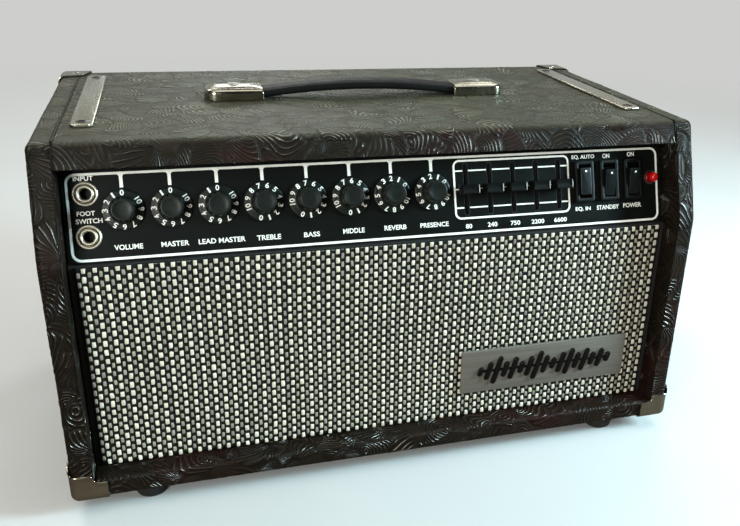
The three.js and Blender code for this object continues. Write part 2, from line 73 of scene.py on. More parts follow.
# ------------------------------------------------------------------ frames
class Basis:
    """A local frame: the point (a, b, c) lies a, b and c along its three axes."""

    def __init__(self, origin, *axes):
        self.origin = np.array(origin, float)
        self.axes = np.array(axes, float)

    def __call__(self, points):
        return np.asarray(points, float).reshape(-1, 3) @ self.axes + self.origin

    def at(self, across, up, out=0.0, turn=0.0):
        """The frame moved to a local point and turned about its third axis, in radians."""
        cos, sin = math.cos(turn), math.sin(turn)
        first, second, third = self.axes
        origin = self([across, up, out])[0]
        return Basis(origin, cos * first + sin * second, cos * second - sin * first, third)


PANEL = Basis(  # x, up the slope, out of the panel
    (0, FRONT_Y + PANEL_RECESS * LEAN_COS, KINK_Z - PANEL_RECESS * LEAN_SIN),
    (1, 0, 0), (0, LEAN_SIN, LEAN_COS), (0, -LEAN_COS, LEAN_SIN),
)
FRONT = Basis((0, 0, 0), (1, 0, 0), (0, 0, 1), (0, -1, 0))  # x, z, towards the front
REAR = Basis((0, 0, 0), (-1, 0, 0), (0, 0, 1), (0, 1, 0))  # -x, z, towards the back
UP = Basis((0, 0, 0), (1, 0, 0), (0, 1, 0), (0, 0, 1))
DOWN = Basis((0, 0, 0), (1, 0, 0), (0, -1, 0), (0, 0, -1))


def facing_down(x, y, z=0.0, turn=0.0):
    return DOWN.at(x, -y, -z, turn)


def facing_back(x, y, z, turn=0.0):
    return REAR.at(-x, z, y, turn)


# ------------------------------------------------------------------ meshes
class Mesh:
    """Collects vertices in millimetres and faces, and makes one object of them."""

    def __init__(self):
        self.verts, self.faces, self.mats, self.count = [], [], [], 0

    def add(self, verts, faces, mat=0):
        verts = np.asarray(verts, float).reshape(-1, 3)
        if isinstance(faces, np.ndarray):
            faces = faces.tolist()
        self.verts.append(verts)
        self.faces += [[i + self.count for i in face] for face in faces]
        self.mats += [mat] * len(faces)
        self.count += len(verts)

    def build(self, name, slot, *mats, body="cabinet", replaces=None, sharp=35.0, attribute=None):
        """attribute is (name, one number or one vector per vertex)."""
        mesh = bpy.data.meshes.new(name)
        verts = np.concatenate(self.verts) * MM
        mesh.vertices.add(len(verts))
        mesh.vertices.foreach_set("co", verts.astype(np.float32).ravel())
        sizes = np.array([len(face) for face in self.faces], np.int32)
        corners = np.fromiter((i for face in self.faces for i in face), np.int32, int(sizes.sum()))
        mesh.loops.add(len(corners))
        mesh.loops.foreach_set("vertex_index", corners)
        mesh.polygons.add(len(sizes))
        starts = np.concatenate([[0], np.cumsum(sizes)[:-1]]).astype(np.int32)
        mesh.polygons.foreach_set("loop_start", starts)
        mesh.polygons.foreach_set("material_index", np.array(self.mats, np.int32))
        mesh.update(calc_edges=True)
        mesh.validate()
        if attribute:
            key, values = attribute
            values = np.asarray(values, np.float32)
            vector = values.ndim == 2
            layer = mesh.attributes.new(key, "FLOAT_VECTOR" if vector else "FLOAT", "POINT")
            layer.data.foreach_set("vector" if vector else "value", values.ravel())
        mesh.polygons.foreach_set("use_smooth", np.full(len(mesh.polygons), True))
        if sharp:
            mesh.set_sharp_from_angle(angle=math.radians(sharp))
        obj = bpy.data.objects.new(name, mesh)
        bpy.context.scene.collection.objects.link(obj)
        for mat in mats:
            mesh.materials.append(mat)
        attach(obj, body)
        if replaces:
            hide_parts(replaces)
        return obj


def unit(vectors, floor=1e-9):
    return vectors / np.maximum(np.linalg.norm(vectors, axis=1, keepdims=True), floor)


def circle_angles(sides):
    return np.arange(sides) * 2 * math.pi / sides


def raised(outline, height):
    """A flat outline as points at one height."""
    return np.column_stack([outline, np.full(len(outline), height)])


def ring_faces(count, sides):
    """Quads between successive rings."""
    start = np.arange(count - 1)[:, None] * sides
    i = np.arange(sides)[None]
    j = (i + 1) % sides
    quads = [start + i, start + j, start + sides + j, start + sides + i]
    return np.stack(quads, -1).reshape(-1, 4)


def grid_quads(index):
    """Quads over a grid of vertex numbers."""
    corners = [index[:-1, :-1], index[1:, :-1], index[1:, 1:], index[:-1, 1:]]
    return np.stack(corners, -1).reshape(-1, 4)


def sheet_quads(rows, columns):
    return grid_quads(np.arange(rows * columns).reshape(rows, columns))


# which end rings of a loft are closed
OPEN, LOW, HIGH, BOTH = (), (0,), (-1,), (0, -1)


def loft(mesh, basis, rings, ends=BOTH, mat=0, flip=False):
    """A skin over rings of equal vertex counts. flip turns all its faces over."""
    rings = np.asarray(rings)
    count, sides = rings.shape[:2]
    faces = ring_faces(count, sides).tolist()
    for end in ends:
        if end == 0:
            faces.append(list(range(sides))[::-1])
        else:
            faces.append([(count - 1) * sides + i for i in range(sides)])
    if flip:
        faces = [face[::-1] for face in faces]
    mesh.add(basis(rings), faces, mat)


def lathe(mesh, basis, profile, sides=48, mat=0, ends=BOTH, flute=None):
    """A turned form from (radius, height). flute(angles, height) gives a radius factor."""
    angles = circle_angles(sides)
    rings = []
    for radius, height in profile:
        reach = radius * (flute(angles, height) if flute else 1.0)
        outline = np.stack([reach * np.cos(angles), reach * np.sin(angles)], -1)
        rings.append(raised(outline, float(height)))
    loft(mesh, basis, rings, ends, mat)


def prism(mesh, basis, outline, low, high, bevel=0.0, mat=0, steps=2):
    """A counter-clockwise outline extruded from low to high, with a rounded top edge."""
    points = np.asarray(outline, float)
    edge = unit(np.roll(points, -1, 0) - points)
    normal = np.stack([edge[:, 1], -edge[:, 0]], -1)
    mitre = normal + np.roll(normal, 1, 0)
    length = np.linalg.norm(mitre, axis=1, keepdims=True)
    mitre /= np.maximum((mitre * normal).sum(1, keepdims=True), 0.35 * length + 1e-9)
    levels = [(0.0, low), (0.0, high - bevel)]  # inset, height
    if bevel > 0:
        for k in range(1, steps + 1):
            angle = k / steps * math.pi / 2
            levels.append((bevel * (1 - math.cos(angle)), high - bevel * (1 - math.sin(angle))))
    rings = [raised(points - mitre * inset, height) for inset, height in levels]
    loft(mesh, basis, rings, (-1, 0), mat)


def rect(x0, x1, y0, y1):
    return [(x0, y0), (x1, y0), (x1, y1), (x0, y1)]


def rrect(x0, x1, y0, y1, radius, steps=6):
    """A counter-clockwise rounded rectangle; one radius, or four from the lower left round."""
    radii = radius if isinstance(radius, list) else [radius] * 4
    outline = []
    for quarter, (corner, bend) in enumerate(zip(rect(x0, x1, y0, y1), radii)):
        bend = max(bend, 1e-3)
        x = corner[0] + bend if corner[0] == x0 else corner[0] - bend
        y = corner[1] + bend if corner[1] == y0 else corner[1] - bend
        for k in range(steps + 1):
            angle = math.radians(180 + 90 * quarter + 90 * k / steps)
            outline.append((x + bend * math.cos(angle), y + bend * math.sin(angle)))
    return outline


def pad(half_x, half_y, radius, steps, x=0.0, y=0.0):
    """A rounded rectangle about a centre."""
    return rrect(x - half_x, x + half_x, y - half_y, y + half_y, radius, steps)


def hexagon(radius):
    return [(radius * math.cos(a), radius * math.sin(a)) for a in circle_angles(6)]


def ring_prism(mesh, basis, outer, inner, low, high, bevel=0.0):
    """A closed band between two outlines of equal point counts, with rounded upper edges."""
    outer, inner = np.asarray(outer, float), np.asarray(inner, float)
    inward = unit(inner - outer)
    # inset, drop below the upper face
    steps = [(0, bevel), (bevel * 0.3, bevel * 0.3), (bevel, 0)] if bevel else [(0, 0)]
    rings = [raised(outer, low)]
    rings += [raised(outer + inward * inset, high - drop) for inset, drop in steps]
    rings += [raised(inner - inward * inset, high - drop) for inset, drop in steps[::-1]]
    rings.append(raised(inner, low))
    count, sides = len(rings), len(outer)
    mesh.add(basis(np.concatenate(rings)), ring_faces(count + 1, sides) % (count * sides))


def pipe(mesh, centres, tangents, normals, radius, sides, mat=0, ends=BOTH):
    """A round rod along a line of centres."""
    angles = circle_angles(sides)
    cos, sin = np.cos(angles)[None, :, None], np.sin(angles)[None, :, None]
    others = np.cross(tangents, normals)
    rings = centres[:, None] + radius * (cos * normals[:, None] + sin * others[:, None])
    loft(mesh, UP, rings, ends, mat)


def sweep(mesh, points, radius, mat=0, sides=10, steps=14):
    """A round wire along a Catmull-Rom curve through points."""
    points = np.array(points, float)
    points = np.vstack([2 * points[0] - points[1], points, 2 * points[-1] - points[-2]])
    curve = []
    t = np.linspace(0, 1, steps, endpoint=False)[:, None]
    for i in range(1, len(points) - 2):
        before, start, end, after = points[i - 1 : i + 3]
        square = (2 * before - 5 * start + 4 * end - after) * t**2
        cube = (3 * start - before - 3 * end + after) * t**3
        curve.append(0.5 * (2 * start + (end - before) * t + square + cube))
    centres = np.vstack(curve + [points[-2][None]])
    tangents = unit(np.gradient(centres, axis=0))
    skew = np.array([0.31, 0.87, 0.38])  # parallel to none of the wires
    pipe(mesh, centres, tangents, unit(np.cross(tangents, skew)), radius, sides, mat)


@functools.cache
def glyph(text):
    """A text's flat outline, centred and one unit high: points, faces, width."""
    curve = bpy.data.curves.new("lettering", "FONT")
    curve.body = text
    curve.resolution_u = 3
    curve.fill_mode = "FRONT"
    curve.offset = 0.02
    obj = bpy.data.objects.new("lettering", curve)
    bpy.context.scene.collection.objects.link(obj)
    bpy.context.view_layer.update()
    depsgraph = bpy.context.evaluated_depsgraph_get()
    mesh = bpy.data.meshes.new_from_object(obj.evaluated_get(depsgraph))
    points = np.array([v.co for v in mesh.vertices], float).reshape(-1, 3)
    faces = [list(polygon.vertices) for polygon in mesh.polygons]
    bpy.data.objects.remove(obj)
    bpy.data.curves.remove(curve)
    bpy.data.meshes.remove(mesh)
    # weld, so that the outline's own edges can be found
    points, welded = np.unique(np.round(points, 5), axis=0, return_inverse=True)
    welded = welded.reshape(-1)
    faces = [[int(welded[i]) for i in face] for face in faces]
    faces = [face for face in faces if len(set(face)) == len(face)]
    low, high = points.min(0), points.max(0)
    size = high - low
    return (points - (low + high) / 2) / size[1], faces, size[0] / size[1]


def write(mesh, basis, text, x, y, height, width, low, high, turn=0.0):
    """Raised lettering from low to high, centred on (x, y)."""
    points, faces, aspect = glyph(text)
    across, along = points[:, 0] * (width / aspect), points[:, 1] * height
    cos, sin = math.cos(turn), math.sin(turn)
    flat = np.stack([x + cos * across - sin * along, y + sin * across + cos * along], -1)
    count = len(flat)
    edges, upward = {}, []
    for face in faces:
        corner = flat[face]
        following = np.roll(corner, -1, 0)
        if np.sum(corner[:, 0] * following[:, 1] - corner[:, 1] * following[:, 0]) < 0:
            face = face[::-1]
        upward.append(face)
        for i in range(len(face)):
            edges[(face[i], face[(i + 1) % len(face)])] = True
    tops = [[i + count for i in face] for face in upward]
    walls = [[i, j, j + count, i + count] for i, j in edges if (j, i) not in edges]
    bottoms = [face[::-1] for face in upward]
    points = np.concatenate([raised(flat, low), raised(flat, high)])
    mesh.add(basis(points), tops + walls + bottoms)


def screw(mesh, basis, radius, dome, depth, mat=0, sides=40, base=0.0):
    """A domed screw head on the basis' plane, with a cross recess of the given depth."""
    shares = np.concatenate([np.linspace(0.0, 0.72, 15), [0.8, 0.88, 0.94, 0.98, 1.0]])
    angles = circle_angles(sides)
    arm, half_slot = 0.62 * radius, 0.13 * radius
    rings = []
    for reach in (shares * radius)[1:]:
        x, y = reach * np.cos(angles), reach * np.sin(angles)
        slot = half_slot - np.minimum(np.abs(x), np.abs(y))
        cut = np.clip(slot / (0.05 * radius) + 0.5, 0, 1)
        cut *= np.clip((arm - reach) / (0.12 * radius), 0, 1)
        height = base + dome * (1 - (reach / radius) ** 2) - depth * cut
        rings.append(np.stack([x, y, height], -1))
    rim = np.stack([radius * np.cos(angles), radius * np.sin(angles)], -1)
    rings.append(raised(rim, base - 0.6))
    faces = [[0, 1 + i, 1 + (i + 1) % sides] for i in range(sides)]
    faces += (ring_faces(len(rings), sides) + 1).tolist()
    faces.append([1 + (len(rings) - 1) * sides + i for i in range(sides)][::-1])
    mesh.add(basis(np.concatenate([[[0, 0, base + dome - depth]], *rings])), faces, mat)


# ------------------------------------------------------------------ shader nodes
def srgb(color):
    """(r, g, b) in 0-255 to linear, with alpha."""
    shares = [x / 255.0 for x in color]
    return (*(x / 12.92 if x <= 0.04045 else ((x + 0.055) / 1.055) ** 2.4 for x in shares), 1.0)


class Nodes:
    """Short node building in one tree. Values may be numbers or sockets."""

    def __init__(self, tree):
        self.tree = tree
        self.texture = self.new("TexCoord")
        self.coord = self.texture.outputs["Object"]

    def new(self, kind):
        return self.tree.nodes.new("ShaderNode" + kind)

    def fill(self, node, inputs):
        for key, value in inputs.items():
            if isinstance(value, bpy.types.NodeSocket):
                self.tree.links.new(value, node.inputs[key])
            else:
                node.inputs[key].default_value = value

    def mapped(self, scale, rotation=(0, 0, 0)):
        node = self.new("Mapping")
        self.fill(node, {"Vector": self.coord, "Scale": scale, "Rotation": rotation})
        return node.outputs["Vector"]

    def noise(self, scale, detail=3.0, rough=0.55, vector=None, distortion=0.0):
        node = self.new("TexNoise")
        self.fill(node, {
            "Vector": vector or self.coord, "Scale": scale, "Detail": detail,
            "Roughness": rough, "Distortion": distortion,
        })
        return node.outputs["Fac"]

    def cells(self, scale):
        node = self.new("TexVoronoi")
        self.fill(node, {"Vector": self.coord, "Scale": scale})
        return node.outputs["Distance"]

    def math(self, operation, *values, clamp=False):
        node = self.new("Math")
        node.operation = operation
        node.use_clamp = clamp
        self.fill(node, dict(enumerate((*values, 0.0, 0.0)[:3])))
        return node.outputs[0]

    def times(self, first, second):
        return self.math("MULTIPLY", first, second)

    def plus(self, first, second, clamp=False):
        return self.math("ADD", first, second, clamp=clamp)

    def remap(self, value, source, target=(0, 1), smooth=False):
        """Carries the range source to the range target, held at its ends."""
        node = self.new("MapRange")
        node.clamp = True
        if smooth:
            node.interpolation_type = "SMOOTHSTEP"
        self.fill(node, dict(enumerate((value, *source, *target))))
        return node.outputs[0]

    def mix(self, factor, first, second, blend="MIX"):
        node = self.new("Mix")
        node.data_type = "RGBA"
        node.blend_type = blend
        self.fill(node, {0: factor, 6: first, 7: second})
        return node.outputs[2]

    def attribute(self, name, output):
        node = self.new("Attribute")
        node.attribute_name = name
        return node.outputs[output]

    def separate(self, vector):
        node = self.new("SeparateXYZ")
        self.fill(node, {0: vector})
        return node.outputs

    def bump(self, height, strength, distance, normal=None):
        node = self.new("Bump")
        self.fill(node, {"Strength": strength, "Distance": distance, "Height": height})
        if normal:
            self.fill(node, {"Normal": normal})
        return node.outputs["Normal"]

    def up_facing(self):
        """1 where the true surface faces up."""
        return self.separate(self.new("NewGeometry").outputs["True Normal"])[2]


def new_material(name):
    mat = bpy.data.materials.new(name)
    mat.use_nodes = True
    return mat, Nodes(mat.node_tree), mat.node_tree.nodes["Principled BSDF"]


def material(name, color_a, color_b, rough=(0.4, 0.5), metal=0.0, color_scale=60.0,
             rough_scale=200.0, bump=0.15, bump_scale=900.0, bump_depth=0.0002, stretch=None,
             specular=0.5, scratches=0.0, dust=0.0, tone=False, inputs=None):
    """Noise between two colours and two roughnesses, over a fine bump.

    stretch scales the noise along each axis, scratches adds roughness along fine lines, dust is
    the most dust on upward faces, tone multiplies the colour by the attribute "tone", and inputs
    are further inputs of the Principled shader.
    """
    mat, nodes, bsdf = new_material(name + "_mat")
    vector = nodes.mapped(stretch) if stretch else nodes.coord
    shade = nodes.remap(nodes.noise(color_scale, detail=4, vector=vector), (0.35, 0.65))
    color = nodes.mix(shade, srgb(color_a), srgb(color_b))
    roughness = nodes.remap(nodes.noise(rough_scale, detail=4, vector=vector), (0.3, 0.7), rough)
    normal = nodes.bump(nodes.noise(bump_scale, vector=vector), bump, bump_depth)
    if scratches:
        # two families of long thin streaks
        first = nodes.noise(40, detail=2, vector=nodes.mapped((1, 60, 1), (0.3, 0.2, 0.9)))
        second = nodes.noise(40, detail=2, vector=nodes.mapped((70, 1, 1), (0.1, 0.5, 0.4)))
        lines = nodes.times(nodes.remap(first, (0.62, 0.7)), 1.0)
        lines = nodes.math("MAXIMUM", lines, nodes.remap(second, (0.64, 0.72)))
        roughness = nodes.plus(roughness, nodes.times(lines, scratches), clamp=True)
        normal = nodes.bump(lines, strength=0.15, distance=0.0001, normal=normal)
    if dust:
        level = nodes.remap(nodes.up_facing(), (0.5, 0.95))
        patches = nodes.remap(nodes.noise(35, detail=6, rough=0.7), (0.42, 0.75), (0, dust))
        amount = nodes.times(level, patches)
        color = nodes.mix(amount, color, srgb((120, 115, 105)))
        roughness = nodes.plus(roughness, nodes.times(amount, 0.5), clamp=True)
    if tone:
        grey = nodes.new("CombineColor")
        nodes.fill(grey, dict.fromkeys(range(3), nodes.attribute("tone", "Fac")))
        color = nodes.mix(1.0, color, grey.outputs[0], blend="MULTIPLY")
    nodes.fill(bsdf, {
        "Base Color": color, "Roughness": roughness, "Normal": normal, "Metallic": metal,
        "Coat Roughness": 0.1, "Specular IOR Level": specular, **(inputs or {}),
    })
    return mat


def vinyl_material():
    """Embossed vinyl. The attribute "tool" holds (groove phase, motif strength, height), so that
    the fine grooves are drawn at any size."""
    mat, nodes, bsdf = new_material("tooled_vinyl")
    times, plus, remap, noise = nodes.times, nodes.plus, nodes.remap, nodes.noise
    phase, strength, _ = nodes.separate(nodes.attribute("tool", "Vector"))
    wave = nodes.math("COSINE", times(phase, 2 * math.pi))
    crest = nodes.math("POWER", plus(times(wave, 0.5), 0.5), 3.2)
    ridge = times(crest, strength)
    # the motif's outline, where its strength is low
    rim = times(remap(strength, (0.02, 0.16)), remap(strength, (0.16, 0.34), (1, 0)))
    stipple = remap(nodes.cells(620), (0.0, 0.5), (1, 0))
    grain = plus(times(noise(1500, rough=0.7), 0.5), times(stipple, 0.6))

    # uneven dark brown, then painted shade darkening the grooves and a painted highlight lightening
    # the ridges and the motif outlines
    broad = remap(noise(11, detail=5, rough=0.62, distortion=0.8), (0.47, 0.60))
    medium = remap(noise(37, detail=5, rough=0.6), (0.40, 0.68))
    base = nodes.mix(broad, srgb((19, 14, 8)), srgb((37, 13, 9)))
    base = nodes.mix(times(medium, 0.6), base, srgb((16, 13, 8)))
    # painted shade in the grooves
    color = nodes.mix(remap(ridge, (0.0, 0.4), (0.5, 0.0)), base, srgb((9, 6, 4)))
    # painted highlight on the ridges and along the motif outlines
    light = plus(remap(ridge, (0.35, 1.0), (0.0, 0.34)), times(rim, 0.12))
    color = nodes.mix(light, color, srgb((66, 54, 38)))

    # dust and wear, together with a painted sheen, lighten the upward faces near the top, 0.262 to
    # 0.276 m up
    height = nodes.separate(nodes.coord)[2]
    upper = times(remap(nodes.up_facing(), (0.6, 0.98)), remap(height, (0.262, 0.276)))
    worn = times(upper, remap(noise(190, detail=6, rough=0.75), (0.52, 0.72), (0.0, 0.75)))
    dust = times(upper, remap(noise(22, detail=7, rough=0.72), (0.3, 0.75), (0.2, 0.42)))
    dust = plus(dust, times(worn, 0.45))
    relief = plus(ridge, times(strength, 0.35))
    dust = times(dust, remap(relief, (0.05, 0.8), (0.5, 1.25)))
    fleck = noise(330, detail=5, rough=0.75, distortion=0.6)
    # light specks on the ridges near the top: painted glints
    painted_glints = times(remap(fleck, (0.54, 0.62)), remap(upper, (0.0, 1.0), (0.05, 0.4)))
    painted_glints = times(painted_glints, remap(ridge, (0.1, 0.6), (0.12, 1.0)))
    # dark specks, most in the grooves: painted shade
    pit_shade = times(remap(fleck, (0.46, 0.38)), remap(ridge, (0.1, 0.5), (0.35, 0.1)))
    # olive grey of the dust and of the painted sheen
    color = nodes.mix(dust, color, srgb((107, 110, 84)))
    # the painted glints
    color = nodes.mix(painted_glints, color, srgb((158, 152, 128)))
    # the painted shade specks
    color = nodes.mix(pit_shade, color, srgb((12, 9, 6)))

    # glossier ridges, duller where the dust and painted sheen lie
    roughness = remap(noise(120, detail=5, rough=0.65), (0.3, 0.7), (0.2, 0.34))
    roughness = plus(roughness, remap(ridge, (0.0, 0.6), (0.26, -0.09)))
    roughness = plus(roughness, times(dust, 0.3), clamp=True)
    groove_height = plus(ridge, times(strength, 0.5))
    grooves = nodes.bump(groove_height, strength=0.9, distance=0.0012)
    fine_height = plus(grain, times(fleck, 0.6))
    nodes.fill(bsdf, {
        "Base Color": color,
        "Roughness": roughness,
        "Normal": nodes.bump(fine_height, strength=0.45, distance=0.00022, normal=grooves),
        "Specular IOR Level": remap(ridge, (0.15, 0.8), (0.15, 1.0)),
        "Specular Tint": (1.0, 0.92, 0.82, 1),
    })
    return mat


# ------------------------------------------------------------------ materials
VINYL = vinyl_material()
GRIP = material("handle_grip", (7, 7, 6), (12, 12, 10), rough=(0.5, 0.62), bump=0.22,
                bump_scale=1400, bump_depth=0.00012, specular=0.09, dust=0.05)
NICKEL = material("nickel", (166, 160, 142), (144, 138, 122), rough=(0.13, 0.24), metal=1.0,
                  color_scale=45, rough_scale=60, bump=0.02, bump_scale=160, bump_depth=0.0003,
                  scratches=0.10)
STRAP = material("strap_nickel", (206, 200, 182), (184, 177, 158), rough=(0.16, 0.26), metal=1.0,
                 color_scale=20, rough_scale=40, bump=0.02, bump_scale=120,
                 stretch=(12, 1, 12), scratches=0.06)
JACK = material("jack_nickel", (196, 190, 172), (182, 176, 158), rough=(0.34, 0.42), metal=1.0,
                color_scale=200, bump=0.0, bump_scale=200)
PAINT = material("panel_paint", (9, 12, 10), (14, 17, 14), rough=(0.4, 0.52), color_scale=18,
                 rough_scale=60, bump=0.1, bump_scale=2400, bump_depth=0.00006, specular=0.08)
PRINT = material("panel_print", (246, 246, 236), (232, 232, 220), rough=(0.42, 0.55),
                 color_scale=300, bump=0.1, bump_scale=2600, bump_depth=0.00005)
KNOB = material("control_plastic", (13, 17, 13), (19, 24, 19), rough=(0.36, 0.46),
                color_scale=120, bump=0.1, bump_scale=1900, bump_depth=0.00008, specular=0.2)
SHADOW = material("slot_shadow", (6, 6, 6), (10, 10, 9), rough=(0.7, 0.85), bump=0.2,
                  bump_scale=700)
ROCKER = material("rocker_plastic", (7, 12, 12), (11, 17, 17), rough=(0.3, 0.4), specular=0.28,
                  color_scale=90, bump=0.06, bump_scale=1200, bump_depth=0.0001)
SLIDER = material("slider_plastic", (7, 9, 8), (12, 14, 12), color_scale=120, bump=0.1,
                  bump_scale=1900, bump_depth=0.00008, specular=0.12)
# light grey for the painted highlight on the slider caps' right edge
SLIDER_HIGHLIGHT = material("slider_painted_highlight", (176, 178, 168), (150, 152, 144), rough=(0.45, 0.55),
                color_scale=300)
BEZEL = material("bezel_plastic", (5, 6, 6), (9, 10, 9), rough=(0.46, 0.58), specular=0.2,
                 color_scale=90, bump=0.12, bump_scale=1600, bump_depth=0.0001)
PILOT_BEZEL = material("pilot_bezel", (206, 170, 166), (190, 150, 146), rough=(0.2, 0.3),
                       metal=1.0)
YARN = dict(color_scale=220, bump=0.5, bump_scale=2200, bump_depth=0.0003,
            stretch=(1, 1, 0.25), tone=True)
LIGHT_YARN = material("weave_light", (222, 217, 196), (200, 194, 172), rough=(0.62, 0.78),
                      inputs={"Sheen Weight": 0.15}, **YARN)
GREY_YARN = material("weave_grey", (160, 155, 138), (130, 126, 112), rough=(0.66, 0.8),
                     inputs={"Sheen Weight": 0.1}, **YARN)
WEAVE = material("weave_black", (8, 8, 7), (14, 13, 12), rough=(0.75, 0.9), color_scale=260,
                 bump=0.5, bump_scale=1500, bump_depth=0.0003, specular=0.25)
BADGE = material("badge_metal", (124, 120, 110), (110, 107, 98), metal=0.45, color_scale=14,
                 rough_scale=120, bump=0.25, bump_scale=420, bump_depth=0.0001,
                 stretch=(1, 40, 40))
EMBLEM = material("emblem_black", (4, 4, 4), (7, 7, 7), rough=(0.26, 0.36), color_scale=80,
                  bump=0.05, specular=0.22)
STEEL = material("chassis_steel", (150, 150, 146), (128, 129, 127), rough=(0.36, 0.5), metal=1.0,
                 color_scale=30, rough_scale=70, bump=0.18, bump_scale=160, scratches=0.12)
RUBBER = material("foot_rubber", (20, 20, 20), (29, 29, 28), rough=(0.66, 0.82), bump=0.35)
BOARD = material("black_board", (9, 8, 7), (15, 13, 11), rough=(0.7, 0.85), color_scale=30,
                 bump=0.4, bump_scale=260, stretch=(1, 8, 8))
SCREW = material("screw", (150, 146, 138), (120, 116, 108), rough=(0.25, 0.4), metal=1.0,
                 color_scale=200, bump=0.12, bump_scale=700)
DARK_SCREW = material("screw_dark", (44, 40, 36), (24, 22, 20), rough=(0.3, 0.45), metal=1.0,
                      color_scale=260, bump=0.12, bump_scale=700)
LENS = material("lens_red", (216, 18, 22), (190, 12, 18), rough=(0.08, 0.14), color_scale=90,
                bump=0.02, inputs={
                    "Transmission Weight": 0.55, "IOR": 1.49,
                    "Emission Color": srgb((210, 14, 16)), "Emission Strength": 0.25})
LENS_BODY = material("lens_body", (150, 12, 14), (120, 8, 12), rough=(0.12, 0.2), color_scale=90,
                     bump=0.02, inputs={"Coat Weight": 0.5})
GETTER = material("tube_getter", (120, 116, 112), (60, 58, 60), rough=(0.12, 0.25), metal=1.0,
                  color_scale=120, bump=0.1)
PLATE = material("tube_plate", (78, 78, 80), (58, 58, 60), rough=(0.42, 0.55), metal=0.9,
                 color_scale=120, bump=0.2, bump_scale=600)
MICA = material("tube_mica", (210, 200, 180), (190, 180, 160), rough=(0.3, 0.4), color_scale=200)
BASE = material("tube_base", (24, 20, 18), (34, 28, 24), rough=(0.35, 0.45), color_scale=120)
CERAMIC = material("socket_ceramic", (226, 222, 210), (206, 200, 186), rough=(0.4, 0.55),
                   color_scale=150)
CLEAR = material("tube_clear", (206, 214, 214), (196, 206, 206), rough=(0.02, 0.05), bump=0.01,
                 bump_scale=60, specular=0.8, inputs={"Coat Weight": 0.6, "Alpha": 0.14})
IRON = material("transformer_iron", (34, 35, 37), (50, 50, 52), rough=(0.42, 0.58), metal=0.7,
                color_scale=40, bump=0.35, bump_scale=1400, stretch=(1, 1, 1))
BELL = material("transformer_cover", (22, 22, 24), (32, 32, 34), rough=(0.34, 0.46), metal=0.2,
                color_scale=50, bump=0.3, bump_scale=500, bump_depth=0.0003)
WRAP = material("winding_wrap", (196, 176, 120), (176, 154, 98), rough=(0.5, 0.65), bump=0.2)
CIRCUIT = material("circuit_board", (44, 92, 56), (34, 76, 46), rough=(0.34, 0.5),
                   color_scale=200, inputs={"Coat Weight": 0.2})
SOLDER = material("solder", (190, 190, 186), (160, 160, 158), rough=(0.25, 0.4), metal=1.0,
                  color_scale=300)
CAN = material("capacitor_sleeve", (26, 34, 58), (18, 26, 46), rough=(0.3, 0.42), color_scale=90)
FILM = material("capacitor_film", (196, 120, 30), (172, 98, 22), rough=(0.3, 0.45),
                color_scale=90)
RESISTOR = material("resistor", (172, 140, 98), (150, 118, 80), color_scale=200)
WIRE_COLORS = ((28, 28, 28), (150, 26, 24), (206, 170, 40), (40, 84, 140), (220, 216, 204))
WIRES = [
    material(f"wire_{i}", color, [int(x * 0.8) for x in color], rough=(0.35, 0.5), color_scale=90)
    for i, color in enumerate(WIRE_COLORS)
]


# ------------------------------------------------------------------ tooled pattern
MOTIF_CELL = 25.0  # one motif to each square cell


def cell_value(i, j, seed):
    """A repeatable number in 0..1 for each whole-number cell."""
    value = np.sin(i * 127.1 + j * 311.7 + seed * 74.7) * 43758.5453
    return value - np.floor(value)


